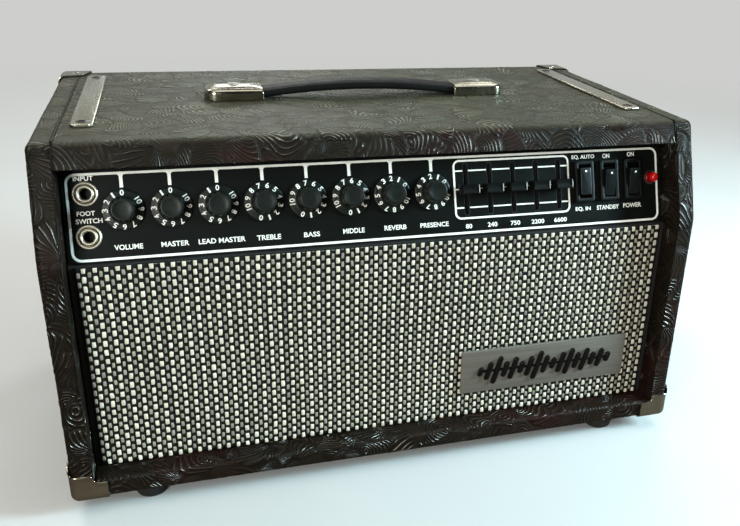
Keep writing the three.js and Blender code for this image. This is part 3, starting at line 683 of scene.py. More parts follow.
def tooling(x, y, seed):
    """The scrollwork at flat (x, y): groove phase, motif strength, height in 0..1."""
    bent_x = x + 4.6 * np.sin(y / 13.0 + seed) + 2.2 * np.sin(x / 8.3 + y / 15.0 + 2 * seed)
    bent_x = bent_x + 0.8 * np.sin(y / 4.1 + x / 9.0)
    bent_y = y + 4.6 * np.sin(x / 14.5 - seed) + 2.2 * np.sin(y / 7.7 - x / 17.0 + seed)
    bent_y = bent_y + 0.8 * np.sin(x / 4.7 - y / 8.0)
    column, row = np.floor(bent_x / MOTIF_CELL), np.floor(bent_y / MOTIF_CELL)
    nearest = np.full(x.shape, 1e9)
    second = np.full(x.shape, 1e9)
    phase, power, width = np.zeros(x.shape), np.zeros(x.shape), np.zeros(x.shape)
    for di in (-1, 0, 1):
        for dj in (-1, 0, 1):
            # values 1 to 10 of a cell fix its motif's place, heading, bend and strength
            value = functools.partial(cell_value, column + di, row + dj)
            dx = bent_x - (column + di + 0.1 + 0.8 * value(seed + 1)) * MOTIF_CELL
            dy = bent_y - (row + dj + 0.1 + 0.8 * value(seed + 2)) * MOTIF_CELL
            heading = 2 * math.pi * value(seed + 3)
            cos, sin = np.cos(heading), np.sin(heading)
            along, across = dx * cos + dy * sin, dy * cos - dx * sin
            bend = across + 0.028 * along**2 * np.where(value(seed + 9) > 0.5, 1.0, -1.0)
            size = 0.85 + 0.5 * value(seed + 8)
            distance = np.sqrt(along**2 * 0.5 + bend**2 * 1.7) / size  # a curved leaf
            offset = 4.0 + 20.0 * value(seed + 4) ** 1.5
            side = np.where(value(seed + 6) > 0.5, 1.0, -1.0)
            radius = np.sqrt((along + offset * 0.5) ** 2 + (across + side * offset) ** 2)
            pitch = 2.3 + 1.6 * value(seed + 5)
            # strands that spread from a root, or nested arcs
            fan = value(seed + 7) > 0.6
            strands = np.where(fan, np.arctan2(across, along + 16.0) * 6.5, radius / pitch)
            strands = strands + 0.3 * np.sin(along / 6.0 + heading)
            near = distance < nearest
            second = np.where(near, nearest, np.minimum(second, distance))
            phase = np.where(near, strands, phase)
            power = np.where(near, 0.25 + 0.75 * value(seed + 10), power)
            own_width = np.where(fan, 0.35, np.clip((pitch - 2.5) / 1.2, 0, 1))
            width = np.where(near, own_width, width)
            nearest = np.where(near, distance, nearest)
    edge = np.clip((second - nearest - 0.3) / 2.6, 0, 1)
    # strands die out here and there
    fade = np.sin(x / 7.1 + 2.1 * np.sin(y / 9.7 + seed))
    fade = 0.5 + 0.5 * fade * np.sin(y / 6.3 + 1.7 * np.sin(x / 11.3 - seed))
    strength = edge * edge * (3 - 2 * edge) * power * (0.45 + 0.55 * np.clip(fade * 1.6, 0, 1))
    ridge = (0.5 + 0.5 * np.cos(2 * math.pi * phase)) ** 1.3
    return phase, strength, strength * (0.35 + 0.65 * ridge * width)


# ------------------------------------------------------------------ covered boards
def stops(*values):
    """Lattice lines from alternating places and steps: place, step, place, step ... place."""
    lines = [values[0]]
    for step, end in zip(values[1::2], values[2::2]):
        count = max(1, round(abs(lines[-1] - end) / step))
        lines += list(np.linspace(lines[-1], end, count + 1)[1:])
    return np.array(lines)


def lattice(xs, ys, zs):
    """The surface of a box lattice: points and quads."""
    surface = np.ones((len(xs), len(ys), len(zs)), bool)
    surface[1:-1, 1:-1, 1:-1] = False
    index = np.full(surface.shape, -1, np.int64)
    index[surface] = np.arange(surface.sum())
    i, j, k = np.nonzero(surface)
    quads = []
    for axis, turned in ((0, 0), (1, -1), (2, 0)):
        for end in (0, -1):
            face = grid_quads(np.take(index, end, axis))
            quads.append(face[:, ::-1] if end == turned else face)
    return np.stack([xs[i], ys[j], zs[k]], -1), np.concatenate(quads)


def rounded(points, low, high, low_radii, high_radii):
    """Moves points of a box onto one with elliptic edges; a radius for each side of each axis."""
    low, high = np.asarray(low, float), np.asarray(high, float)
    low_radii, high_radii = np.asarray(low_radii, float), np.asarray(high_radii, float)
    core = np.clip(points, low + low_radii, high - high_radii)
    beyond = points - core
    radii = np.where(beyond < 0, low_radii, high_radii)
    share = beyond / radii
    length = np.linalg.norm(share, axis=1, keepdims=True)
    on_edge = (np.abs(share) > 1e-6).sum(1, keepdims=True) > 1
    # spread the lattice evenly round the arc
    even = np.sign(share) * np.tan(np.clip(np.abs(share), 0, 1) * math.pi / 4)
    even = np.where(on_edge, even, share)
    return np.where(length > 1e-9, core + radii * unit(even), points)


def normals_of(verts, quads):
    first, second, third, fourth = (verts[quads[:, k]] for k in range(4))
    face_normals = np.cross(third - first, fourth - second)
    total = np.zeros_like(verts)
    for k in range(4):
        for axis in range(3):
            total[:, axis] += np.bincount(quads[:, k], face_normals[:, axis], len(verts))
    return unit(total, 1e-12)


def soft_lean(z):
    """y of the leaning front plane at height z, with a softened kink."""
    above, half = z - KINK_Z, 4.0
    blend = (above + half) ** 2 / (4 * half)
    soft = np.where(above < -half, 0.0, np.where(above > half, above, blend))
    return FRONT_Y + soft * LEAN_DEPTH / LEAN_RISE


def straight_lean(z):
    return FRONT_Y + (z - KINK_Z) * LEAN_DEPTH / LEAN_RISE


def cover(name, board, stations, low_radii, high_radii, unfold, seed, depth=0.5, lean=None,
          level=None):
    """Vinyl round one board. unfold(x, y, z) gives the flat place, depth is that of the
    embossing, lean(z) the front's y, and level(y, z) scales the embossing."""
    points, quads = lattice(*stations)
    verts = rounded(points, points.min(0), points.max(0), low_radii, high_radii)
    if lean:
        share = (BACK_Y - lean(verts[:, 2])) / (BACK_Y - FRONT_Y)
        verts[:, 1] = BACK_Y - (BACK_Y - verts[:, 1]) * share
    x, y = unfold(*points.T)
    phase, strength, height = tooling(x, y, seed)
    share = level(points[:, 1], points[:, 2]) if level else 1.0
    normals = normals_of(verts, quads)
    verts = verts - normals * (depth * (1 - height * share))[:, None]
    # slow unevenness of glued covering
    uneven = 0.12 * np.sin(x / 31.0 + seed) * np.sin(y / 27.0 - seed) - 0.12
    verts = verts + normals * uneven[:, None]
    mesh = Mesh()
    mesh.add(verts, quads)
    tool = np.stack([phase, strength * share, height], -1)
    mesh.build(name, "tooled_vinyl", VINYL, replaces=board, sharp=60, attribute=("tool", tool))


def side_cover(side, sign):
    thickness = SIDE_X - SIDE_INNER_X
    xs = stops(SIDE_INNER_X, 0.35, SIDE_INNER_X + 1.05, 0.9, SIDE_X - 5.0, 0.7, SIDE_X)
    ys = stops(FRONT_Y, 0.75, FRONT_Y + 30, 1.25, 0, 1.8, BACK_Y - 6, 1.0, BACK_Y)
    zs = stops(BOTTOM_Z, 1.0, BOTTOM_Z + 6, 1.15, TOP_Z - 30, 0.95, TOP_Z)
    low_x, high_x = (0.35, 5.0)[::sign]

    def unfold(x, y, z):
        inset = SIDE_X - np.abs(x)
        flat_x, flat_y = y.copy(), z.copy()
        inward = inset > 1e-6
        front = np.isclose(y, FRONT_Y) & inward
        back = np.isclose(y, BACK_Y) & inward
        top = np.isclose(z, TOP_Z) & inward & ~front
        bottom = np.isclose(z, BOTTOM_Z) & inward & ~front
        inner = np.isclose(inset, thickness) & ~front
        flat_x[front] = FRONT_Y - inset[front]
        flat_x[back] = BACK_Y + inset[back]
        flat_y[top] = TOP_Z + inset[top]
        flat_y[bottom] = BOTTOM_Z - inset[bottom]
        flat_x[inner] = FRONT_Y - thickness - (y[inner] - FRONT_Y)
        flat_y[inner] = z[inner]
        return flat_x, flat_y

    cover(side + "_side_covering", side + "_side_board",
          (xs if sign > 0 else -xs[::-1], ys, zs), (low_x, 4.6, 5.0), (high_x, 4.6, 5.4),
          unfold, seed=3.0 if sign < 0 else 11.0, depth=0.55, lean=soft_lean)


def level_board_unfold(upper, under):
    """Unfolds a level board between the heights upper and under."""

    def unfold(x, y, z):
        flat_y = y.copy()
        front = np.isclose(y, FRONT_Y) & (z < upper - 1e-6)
        back = np.isclose(y, BACK_Y) & (z < upper - 1e-6)
        below = np.isclose(z, under) & ~front & ~back
        flat_y[front] = FRONT_Y - (upper - z[front])
        flat_y[back] = BACK_Y + (upper - z[back])
        flat_y[below] = -400 - y[below]  # far away, so that the pattern does not repeat
        return x, flat_y

    return unfold


def board_stops(step):
    """Lines along x of the boards between the sides."""
    return stops(-233.4, 0.35, -232.4, step, 232.4, 0.35, 233.4)


def top_level(y, z):
    """Pressed flatter on the large upper face, away from its front edge."""
    return np.where(z > TOP_Z - 1e-6, np.clip(1.0 - (y - FRONT_Y) / 22.0, 0.85, 1.0), 1.0)


def top_cover():
    ys = stops(FRONT_Y, 0.8, FRONT_Y + 24, 1.5, BACK_Y - 8, 1.0, BACK_Y)
    zs = stops(TOP_UNDER_Z, 0.6, 262.1, 1.0, 273.5, 0.9, TOP_Z)
    cover("top_covering", "top_board", (board_stops(1.12), ys, zs),
          (0.25, 5.0, 1.4), (0.25, 4.6, 5.2), level_board_unfold(TOP_Z, TOP_UNDER_Z),
          seed=5.0, lean=straight_lean, level=top_level)


def bottom_cover():
    ys = stops(FRONT_Y, 0.8, FRONT_Y + 26, 2.4, BACK_Y - 8, 1.0, BACK_Y)
    zs = stops(BOTTOM_Z, 0.8, 18.0, 1.1, 27.0, 0.7, BOTTOM_UPPER_Z)
    cover("bottom_covering", "bottom_board", (board_stops(1.15), ys, zs),
          (0.5, 4.0, 4.2), (0.5, 4.0, 3.0), level_board_unfold(BOTTOM_UPPER_Z, BOTTOM_Z),
          seed=23.0)


def rear_cover():
    inner_y, outer_y, upper = 128.0, 138.0, 141.5
    xs = stops(-233.0, 0.5, -231.0, 1.6, 231.0, 0.5, 233.0)
    ys = stops(inner_y, 1.0, 130.0, 2.0, 136.0, 0.6, outer_y)
    zs = stops(30.4, 0.6, 32.4, 1.5, 139.5, 0.6, upper)

    def unfold(x, y, z):
        flat_y = z.copy()
        top = np.isclose(z, upper) & (y < outer_y - 1e-6)
        flat_y[top] = upper + (outer_y - y[top])
        inner = np.isclose(y, inner_y) & ~top
        flat_y[inner] = 300 - z[inner]
        return x, flat_y

    cover("rear_panel_covering", "rear_panel", (xs, ys, zs),
          (1.2, 0.8, 0.8), (1.2, 1.8, 1.8), unfold, seed=31.0, depth=0.45)


for side_name, side_sign in SIDES:
    side_cover(side_name, side_sign)
top_cover()
bottom_cover()
rear_cover()

# ------------------------------------------------------------------ grille
GRILLE_X = 229.3  # half width
GRILLE_LOW, GRILLE_HIGH = 30.7, 192.7
GRILLE_OUT = 126.0  # the cloth's face, in front of y = 0
YARN_PITCH_X, YARN_PITCH_Z = 7.35, 7.2


def grille_ground():
    """The black ground weave, closed by a sheet behind."""
    x, z = np.meshgrid(
        np.arange(-GRILLE_X, GRILLE_X + 0.01, 2 * GRILLE_X / 416),
        np.linspace(GRILLE_LOW, GRILLE_HIGH, 150), indexing="ij",
    )
    warp = np.abs(np.cos(2 * math.pi * (x + 222.9) / (YARN_PITCH_X / 2)))
    weft = np.cos(2 * math.pi * z / (YARN_PITCH_Z / 2))
    out = GRILLE_OUT - 0.2 + 0.26 * warp * (0.5 + 0.5 * weft) - 0.18 * (1 - warp)
    rim = np.minimum.reduce([x + GRILLE_X, GRILLE_X - x, z - GRILLE_LOW, GRILLE_HIGH - z])
    out = np.where(rim < 1e-6, GRILLE_OUT - 1.4, out)
    mesh = Mesh()
    mesh.add(FRONT(np.stack([x, z, out], -1)), sheet_quads(*x.shape))
    back = raised(rect(-GRILLE_X, GRILLE_X, GRILLE_LOW, GRILLE_HIGH), 124.3)
    mesh.add(FRONT(back), [[3, 2, 1, 0]])
    mesh.build("grille_ground", "grille_weave", WEAVE, replaces="grille_cloth", sharp=None)


def grille_yarn(name, mat, first, half_size, strands, grid, height, dimmest, seed):
    """Rows and columns of raised yarn blocks starting at first (x, z)."""
    random = np.random.default_rng(seed)
    side, end = np.meshgrid(*(np.linspace(-1, 1, count) for count in grid), indexing="ij")
    across = side * (1 - 0.14 * np.abs(end) ** 3)
    dome = np.sqrt(np.clip(1 - (0.985 * np.abs(end)) ** 2.6, 0, 1))
    strand = np.abs(np.cos(math.pi * strands * (side + 1) / 2 + math.pi / 2)) ** 0.5
    rise = -0.35 + dome * (height + 0.35) * (1 - 0.30 * np.abs(side) ** 3)
    rise = rise + 0.16 * (strand - 1) * dome
    rise = np.where((np.abs(side) > 0.999) | (np.abs(end) > 0.999), -0.55, rise)
    quads = sheet_quads(*grid)
    mesh, tones = Mesh(), []
    for column in np.arange(first[0], GRILLE_X + 1.6, YARN_PITCH_X):
        shift = random.normal(0, 0.10)
        for row in np.arange(first[1], GRILLE_HIGH + 3, YARN_PITCH_Z):
            x = column + 0.25 * math.sin(row / 23.0 + column / 60.0)
            x += shift + random.normal(0, 0.07)
            z = row + 0.35 * math.sin(column / 41.0) + 0.25 * math.sin(column / 13.0 + row / 40.0)
            z += random.normal(0, 0.10)
            half_x = half_size[0] * (1 + random.normal(0, 0.045))
            half_z = half_size[1] * (1 + random.normal(0, 0.05))
            tilt = random.normal(0, 0.035)
            if x > 226.8 + half_size[0] or x < -227.5 - half_size[0]:
                continue
            if z - half_z > GRILLE_HIGH - 0.8 or z + half_z < GRILLE_LOW + 0.8:
                continue
            block_x = np.clip(x + across * half_x + tilt * end * half_z, -228.9, 228.9)
            block_z = np.clip(z + end * half_z, GRILLE_LOW + 0.3, GRILLE_HIGH - 0.3)
            out = GRILLE_OUT + rise * (1 + random.normal(0, 0.05))
            mesh.add(FRONT(np.stack([block_x, block_z, out], -1)), quads)
            tones.append(np.full(side.size, random.uniform(dimmest, 1.0)))
    tone = np.concatenate(tones)
    mesh.build(name, "grille_weave", mat, sharp=None, attribute=("tone", tone))


grille_ground()
grille_yarn("grille_light_yarn", LIGHT_YARN, first=(-230.25, 32.4), half_size=(1.48, 2.55),
            strands=3, grid=(10, 8), height=0.85, dimmest=0.84, seed=3)
grille_yarn("grille_grey_yarn", GREY_YARN, first=(-226.6, 36.0), half_size=(1.22, 2.42),
            strands=2, grid=(7, 7), height=0.68, dimmest=0.72, seed=4)

# ------------------------------------------------------------------ panel printing
# On the panel, x runs across and the second coordinate up the slope.
PRINT_LOW, PRINT_HIGH = 0.0, 0.14
# name, number that stands at the pointer
KNOBS = (
    ("volume", 0), ("master", 0), ("lead_master", 0), ("treble", 6.5),
    ("bass", 6.8), ("middle", 6.2), ("reverb", 1.9), ("presence", 1.75),
)
KNOB_X = [-193.9 + 32.2 * k for k in range(len(KNOBS))]
BANDS = ("80", "240", "750", "2200", "6600")
SLOT_X = [59.5 + 19.85 * k for k in range(len(BANDS))]
LEGENDS = (  # text, x, up the slope, height, width
    ("INPUT", -218.3, 58.6, 3.2, 12.8), ("FOOT", -218.5, 34.5, 3.2, 11.8),
    ("SWITCH", -216.8, 29.2, 3.4, 17.3), ("VOLUME", -192.7, 9.6, 3.7, 19),
    ("MASTER", -161.4, 9.6, 3.7, 19), ("LEAD MASTER", -128.9, 9.6, 3.7, 33),
    ("TREBLE", -95.5, 9.4, 3.7, 17.5), ("BASS", -63.8, 9.3, 3.7, 12),
    ("MIDDLE", -32, 9.8, 3.7, 16.5), ("REVERB", 0.5, 10, 3.7, 17.5),
    ("PRESENCE", 31.9, 10, 3.7, 23), ("80", 60.2, 6.9, 3.6, 5.2),
    ("240", 80, 7.1, 3.6, 8.2), ("750", 99.7, 7.0, 3.6, 8.2),
    ("2200", 119.3, 6.9, 3.6, 11.2), ("6600", 139.3, 7.0, 3.6, 11.2),
    ("EQ. AUTO", 162, 56.6, 3.7, 20.5), ("ON", 182.9, 56.7, 3.7, 6.4),
    ("ON", 205.7, 57.2, 3.7, 6.4), ("EQ. IN", 160.2, 14.3, 3.7, 13.6),
    ("STANDBY", 182.9, 14.6, 3.7, 20.4), ("POWER", 205.6, 15, 3.7, 16.8),
)


def printed_frame(mesh, x0, x1, low, high, radius, width):
    half = width / 2
    outer = rrect(x0 - half, x1 + half, low - half, high + half, radius + half, 8)
    inner = rrect(x0 + half, x1 - half, low + half, high - half, radius - half, 8)
    ring_prism(mesh, PANEL, outer, inner, PRINT_LOW, PRINT_HIGH)


def pointer_line(mesh, x):
    """A line down to a knob, flaring at the frame."""
    half, flare, top, bottom = 1.15, 2.0, 60.5, 51.2
    edge = []
    for angle in np.linspace(0, 1, 6) * math.pi / 2:
        reach = half + flare * (1 - math.cos(angle))
        edge.append((reach, top - flare + flare * math.sin(angle)))
    right = [(x + reach, up) for reach, up in edge]
    left = [(x - reach, up) for reach, up in edge[::-1]]
    outline = [(x - half, bottom), (x + half, bottom)] + right + left
    prism(mesh, PANEL, outline, PRINT_LOW, PRINT_HIGH)


def printing():
    mesh = Mesh()
    printed_frame(mesh, -229.4, 229.4, 1.9, 61.3, radius=5.8, width=1.75)
    for x in KNOB_X:
        pointer_line(mesh, x)
    # equaliser box with its scale lines, broken at the slots
    printed_frame(mesh, 50, 148, 13.3, 58.3, radius=4.5, width=1.5)
    cuts = [50.2, *(x + gap for x in SLOT_X for gap in (-2.4, 2.4)), 147.8]
    for up, width in ((50.5, 1.1), (21.6, 1.1), (36.1, 0.9)):
        for x0, x1 in zip(cuts[::2], cuts[1::2]):
            line = rect(x0, x1, up - width / 2, up + width / 2)
            prism(mesh, PANEL, line, PRINT_LOW, PRINT_HIGH)
    for legend in LEGENDS:
        write(mesh, PANEL, *legend, PRINT_LOW, PRINT_HIGH)
    mesh.build("panel_printing", "panel_paint", PRINT, sharp=30)


printing()

# ------------------------------------------------------------------ knobs
# (radius, height)
KNOB_SKIRT = (
    (3.2, 0.9), (13.9, 0.9), (14.2, 1.15), (14.25, 1.6), (14.1, 2.05), (13.7, 2.3),
    (12.6, 2.42), (10.2, 2.62), (9.4, 2.9), (9.0, 3.5),
)
KNOB_CAP = (
    (9.0, 3.5), (8.75, 4.0), (8.5, 4.4), (8.3, 8.0), (8.1, 12.0), (7.98, 14.6), (7.7, 15.3),
    (7.35, 15.75), (6.9, 15.95), (6.3, 16.0), (5.6, 15.72), (3.0, 15.55), (0.3, 15.5),
)
NUMBER_RADIUS = 11.95
NUMBER_WIDTHS = {1: 1.25, 10: 4.7}  # the others are 2.65 wide


def knob_flute(angles, height):
    if not 3.9 < height < 14.9:
        return 1.0
    return 1 - 0.055 * np.abs(np.cos(angles * 12)) ** 3


def knob(name, x, setting):
    body = name + "_knob"
    place = PANEL.at(x, 35.6)
    mesh = Mesh()
    lathe(mesh, place, KNOB_SKIRT, 72, ends=OPEN)
    lathe(mesh, place, KNOB_CAP, 96, ends=HIGH, flute=knob_flute)
    lathe(mesh, place, ((3.0, -4.0), (3.0, 0.95)), 20, ends=LOW)
    mesh.build(body + "_moulding", "control_plastic", KNOB, body=body, replaces=body, sharp=28)
    numbers = Mesh()
    for i in range(11):
        # numbers rise counter-clockwise from the pointer at the top
        angle = math.radians((i - setting) * 30)
        write(numbers, place, str(i),
              -NUMBER_RADIUS * math.sin(angle), NUMBER_RADIUS * math.cos(angle),
              3.9, NUMBER_WIDTHS.get(i, 2.65), low=2.35, high=2.72, turn=angle)
    numbers.build(body + "_numbers", "control_plastic", PRINT, body=body, sharp=30)


for knob_x, (knob_name, knob_setting) in zip(KNOB_X, KNOBS):
    knob(knob_name, knob_x, knob_setting)

# ------------------------------------------------------------------ jacks, pilot light
JACK_PROFILE = (  # (radius, height), from the washer inwards to the bore
    (8.55, 0.02), (8.62, 0.5), (8.5, 1.0), (8.2, 1.38), (7.75, 1.6), (7.3, 1.55), (6.95, 1.2),
    (6.75, 0.6), (6.6, 0.2), (6.15, 0.2), (6.05, 1.2), (5.95, 1.9), (5.7, 2.4), (5.3, 2.72),
    (4.85, 2.8), (4.4, 2.6), (4.0, 2.15), (3.7, 1.5), (3.6, 0.8), (3.6, -7.5),
)
PILOT_PROFILE = (  # (radius, height)
    (5.8, 0.02), (5.85, 0.5), (5.6, 0.95), (5.2, 1.1), (4.7, 1.1), (4.5, 0.9), (4.45, 0.3),
)


def jack(name, up):
    place = PANEL.at(-217.8, up)
    mesh = Mesh()
    lathe(mesh, place, JACK_PROFILE, 96, ends=OPEN)
    lathe(mesh, place, ((6.55, 0.25), (6.2, 0.25)), 96, mat=1, ends=OPEN)
    mesh.build(name + "_turned", "jack_nickel", JACK, SHADOW, replaces=name, sharp=50)
    bore = Mesh()
    lathe(bore, place, ((3.62, -7.4), (0.4, -7.4)), 32, ends=HIGH)
    lathe(bore, place, ((3.6, -1.0), (3.55, -7.4)), 32, ends=OPEN)
    bore.build(name + "_bore", "jack_nickel", SHADOW, sharp=30)


def pilot():
    place = PANEL.at(223.2, 37.2)
    ring = Mesh()
    lathe(ring, place, PILOT_PROFILE, 56, ends=OPEN)
    ring.build("pilot_bezel_ring", "jack_nickel", PILOT_BEZEL, replaces="pilot_bezel", sharp=30)
    lens = Mesh()
    lathe(lens, place, ((4.3, 0.3), (4.25, 4.4), (4.1, 5.1), (3.9, 5.5)), 56, ends=LOW)
    angles = np.linspace(0, math.pi / 2 - 0.05, 14)
    dome = [(3.9 * math.cos(a), 5.5 + 4.0 * math.sin(a)) for a in angles]
    lathe(lens, place, dome, 60, mat=1, ends=HIGH,
          flute=lambda angles, height: 1 - 0.02 * np.abs(np.cos(angles * 10)))
    lens.build("pilot_lens_dome", "lens_red", LENS_BODY, LENS, replaces="pilot_lens", sharp=45)


jack("input_jack", 47.9)
jack("footswitch_jack", 18.1)
pilot()

# ------------------------------------------------------------------ equaliser sliders
EQ_UP = 35.8  # middle of the slots, up the slope
CAP_HALF_X, CAP_HALF_UP, CAP_TOP = 7.2, 3.8, 13.2


def slider(x, band):
    body = "eq_slider_" + band
    place = PANEL.at(x, EQ_UP)
    mesh = Mesh()
    # finger cap with soft edges and a dished front
    outline = np.array(pad(CAP_HALF_X, CAP_HALF_UP, 0.9, 4))
    rings = []
    for inset, height in ((0.0, 3.2), (0.0, 12.1), (0.25, 12.75), (0.75, CAP_TOP)):
        rings.append(raised(np.sign(outline) * (np.abs(outline) - inset), height))
    for share, drop in ((0.85, 0.12), (0.6, 0.45), (0.3, 0.72), (0.02, 0.8)):
        rings.append(raised(outline * (0.88 + 0.02 * share, share * 0.8), CAP_TOP - drop))
    loft(mesh, place, rings)
    # stem through the slot
    prism(mesh, place, pad(0.9, 2.5, 0.3, 2), -5.0, 3.3)
    mesh.build("eq_cap_" + band, "control_plastic", SLIDER, body=body, replaces=body, sharp=30)
    # a light line down the cap's right end, on its top and its side: a painted highlight
    painted_highlights = Mesh()
    prism(painted_highlights, place, rrect(6.2, 6.75, -3.0, 3.0, 0.1, 2), 12.9, 13.3, bevel=0.03)
    across, up, out = place.axes
    cap_side = Basis(place([CAP_HALF_X, 0, 0])[0], -out, up, across)
    prism(painted_highlights, cap_side, rrect(-12.6, -4.0, -0.28, 0.28, 0.1, 2), -0.2, 0.06)
    painted_highlights.build("eq_painted_highlight_" + band, "control_plastic", SLIDER_HIGHLIGHT, body=body, sharp=30)


def slot_liners():
    mesh = Mesh()
    for x in SLOT_X:
        place = PANEL.at(x, EQ_UP)
        outer, inner = pad(2.15, 20.5, 1.0, 4), pad(1.72, 19.9, 0.7, 4)
        ring_prism(mesh, place, outer, inner, -0.1, 0.10, bevel=0.04)
        # dust strip behind the opening, split down the middle
        for sign in (-1, 1):
            prism(mesh, place, pad(1.69, 21.5, 0.05, 1, x=1.71 * sign), -6.4, -5.9)
    mesh.build("eq_slot_liners", "panel_paint", SHADOW, sharp=30)


for slot_x, band_name in zip(SLOT_X, BANDS):
    slider(slot_x, band_name)
slot_liners()


# ------------------------------------------------------------------ rocker switches
def rocker(name, x, pressed):
    """A rocker in its housing. Pressed, its lower half is in and its upper end stands out."""
    place = PANEL.at(x, 36.9)
    frame_mesh = Mesh()
    opening = pad(5.3, 13.6, 0.7, 5)
    ring_prism(frame_mesh, place, pad(8.3, 16.5, 1.6, 5), opening, 0.02, 4.4, bevel=0.7)
    # well behind the opening
    count = len(opening)
    walls = ring_faces(2, count)[:, ::-1].tolist()
    well = np.concatenate([raised(opening, height) for height in (3.4, -9.4)])
    frame_mesh.add(place(well), walls + [[count + k for k in range(count)]])
    frame_mesh.build(name + "_switch_frame", "control_plastic", BEZEL,
                     replaces=name + "_switch_housing", sharp=32)

    tilt = math.radians(15) * pressed
    cos, sin = math.cos(tilt), math.sin(tilt)
    pivot = PANEL.at(x, 36.9, -2.5)
    across, up, out = pivot.axes
    turned = Basis(pivot.origin, across, cos * up + sin * out, cos * out - sin * up)
    across, up, out = turned.axes
    face = Mesh()
    prism(face, turned, pad(4.8, 11.1, 0.8, 4), -1.0, 9.0, bevel=0.7, steps=4)
    lathe(face, Basis(turned.origin, up, out, across), ((1.6, -5.25), (1.6, 5.25)), 20)
    body = name + "_rocker"
    face.build(body + "_face", "rocker_plastic", ROCKER, body=body, replaces=body, sharp=32)
    dot = Mesh()
    lathe(dot, turned.at(0, 8.1), ((0.92, 8.6), (0.92, 9.06), (0.86, 9.1)), 24)
    dot.build(body + "_dot", "rocker_plastic", PRINT, body=body, sharp=32)


rocker("eq", 161.0, pressed=0)
rocker("standby", 183.4, pressed=1)
rocker("power", 205.5, pressed=1)

# ------------------------------------------------------------------ badge
BADGE_X, BADGE_Z = 132.5, 73.25
BAR_PITCH = 7.4
BAR_HEIGHTS = (4, 8, 12.5, 7, 10, 5.5, 9, 13, 8, 5, 9.5, 12, 7.5, 10.5, 6, 8.5, 4.5)  # half each


def badge():
    plate = Mesh()
    outline = pad(76, 19.75, 1.6, 5, x=BADGE_X, y=BADGE_Z)
    prism(plate, FRONT, outline, 127.05, 129.0, bevel=0.45, steps=3)
    plate.build("badge_plate_brushed", "badge_metal", BADGE, replaces="badge_plate")
    # leaning bars joined along their middle
    sheared = Basis((BADGE_X, 0, BADGE_Z), (1, 0, 0), (0.28, 0, 1), (0, -1, 0))
    reach = (len(BAR_HEIGHTS) - 1) * BAR_PITCH / 2
    bars = Mesh()
    for i, height in enumerate(BAR_HEIGHTS):
        outline = pad(2.1, height, 1.9, 6, x=i * BAR_PITCH - reach)
        prism(bars, sheared, outline, 129.02, 131.3, bevel=0.8, steps=4)
    prism(bars, sheared, pad(reach + 2.0, 0.9, 0.6, 3), 129.0, 130.6, bevel=0.4)
    bars.build("badge_emblem_bars", "emblem_black", EMBLEM, replaces="badge_emblem")


badge()

# ------------------------------------------------------------------ handle
HANDLE_Y = 14.0
GRIP_HALF_Y = 12.0
HANDLE_CAP_X = 106.0


def handle_grip():
    """A crowned section swept along its bow, with a groove along each side of the top."""
    xs = np.linspace(-117.0, 117.0, 90)
    bow = np.clip(1 - (xs / 84.0) ** 2, 0, 1) ** 1.15
    angles = circle_angles(40)
    cos, sin = np.cos(angles), np.sin(angles)
    offset = GRIP_HALF_Y * np.sign(cos) * np.abs(cos) ** 0.42
    crown = 0.35 * (1 - (offset / GRIP_HALF_Y) ** 2) - 0.25
    groove = 0.5 * np.exp(-(((np.abs(offset) - 9.2) / 0.7) ** 2))
    rings = []
    for x, under, top in zip(xs, 279.75 + 5.4 * bow, 287.0 + 5.6 * bow):
        z = (under + top) / 2 + (top - under) / 2 * np.sign(sin) * np.abs(sin) ** 0.55
        z = np.where(sin > 0, z + crown - groove, z)
        rings.append(np.stack([np.full(len(z), x), HANDLE_Y + offset, z], -1))
    mesh = Mesh()
    loft(mesh, UP, rings, flip=True)
    mesh.build("handle_grip_moulded", "handle_grip", GRIP, replaces="handle_strap", sharp=50)


def handle_cap(side, sign):
    """A pressed cap with a square inner end and a well rounded outer end."""
    inner_x, outer_x, front, back = 82.5, 129.5, -1.0, 29.0
    base = 279.2
    profile = [(0, base), (0, base + 5.2)]  # inset, z
    for angle in np.linspace(0, 1, 8)[1:] * math.pi / 2:
        profile.append((3.3 * (1 - math.cos(angle)), base + 5.2 + 3.6 * math.sin(angle)))
    rings = []
    for inset, z in profile:
        outer = max(9.5 - inset, 1.0)
        inner = max(1.2 - inset * 0.2, 0.4)
        near, far = inner_x + min(inset, 0.8), outer_x - inset
        if sign > 0:
            outline = rrect(near, far, front + inset, back - inset,
                            [inner, outer, outer, inner], 9)
        else:
            outline = rrect(-far, -near, front + inset, back - inset,
                            [outer, inner, inner, outer], 9)
        rings.append(raised(outline, z))
    # crowned top
    centre = np.array([sign * HANDLE_CAP_X, HANDLE_Y])
    rim = rings[-1][:, :2]
    for share in (0.8, 0.55, 0.3, 0.14):
        outline = centre + (rim - centre) * share
        fall = ((outline[:, 1] - HANDLE_Y) / GRIP_HALF_Y) ** 2
        rings.append(np.column_stack([outline, 288.0 + 1.9 * (1 - fall) * 0.95 + 0.1]))
    mesh = Mesh()
    loft(mesh, UP, rings, (-1, 0))
    mesh.build(f"handle_cap_{side}_pressed", "nickel", NICKEL, replaces="handle_cap_" + side,
               sharp=40)
    fixing = Mesh()
    place = UP.at(sign * HANDLE_CAP_X, HANDLE_Y, turn=0.5 * sign)
    washer = ((5.6, 289.2), (5.6, 289.95), (5.3, 290.15), (4.6, 290.1), (4.4, 289.9))
    lathe(fixing, place, washer, 40, ends=OPEN)
    screw(fixing, place, 4.4, dome=0.9, depth=0.9, base=289.6)
    fixing.build("handle_screw_" + side, "nickel", SCREW)


handle_grip()
for side_name, side_sign in SIDES:
    handle_cap(side_name, side_sign)


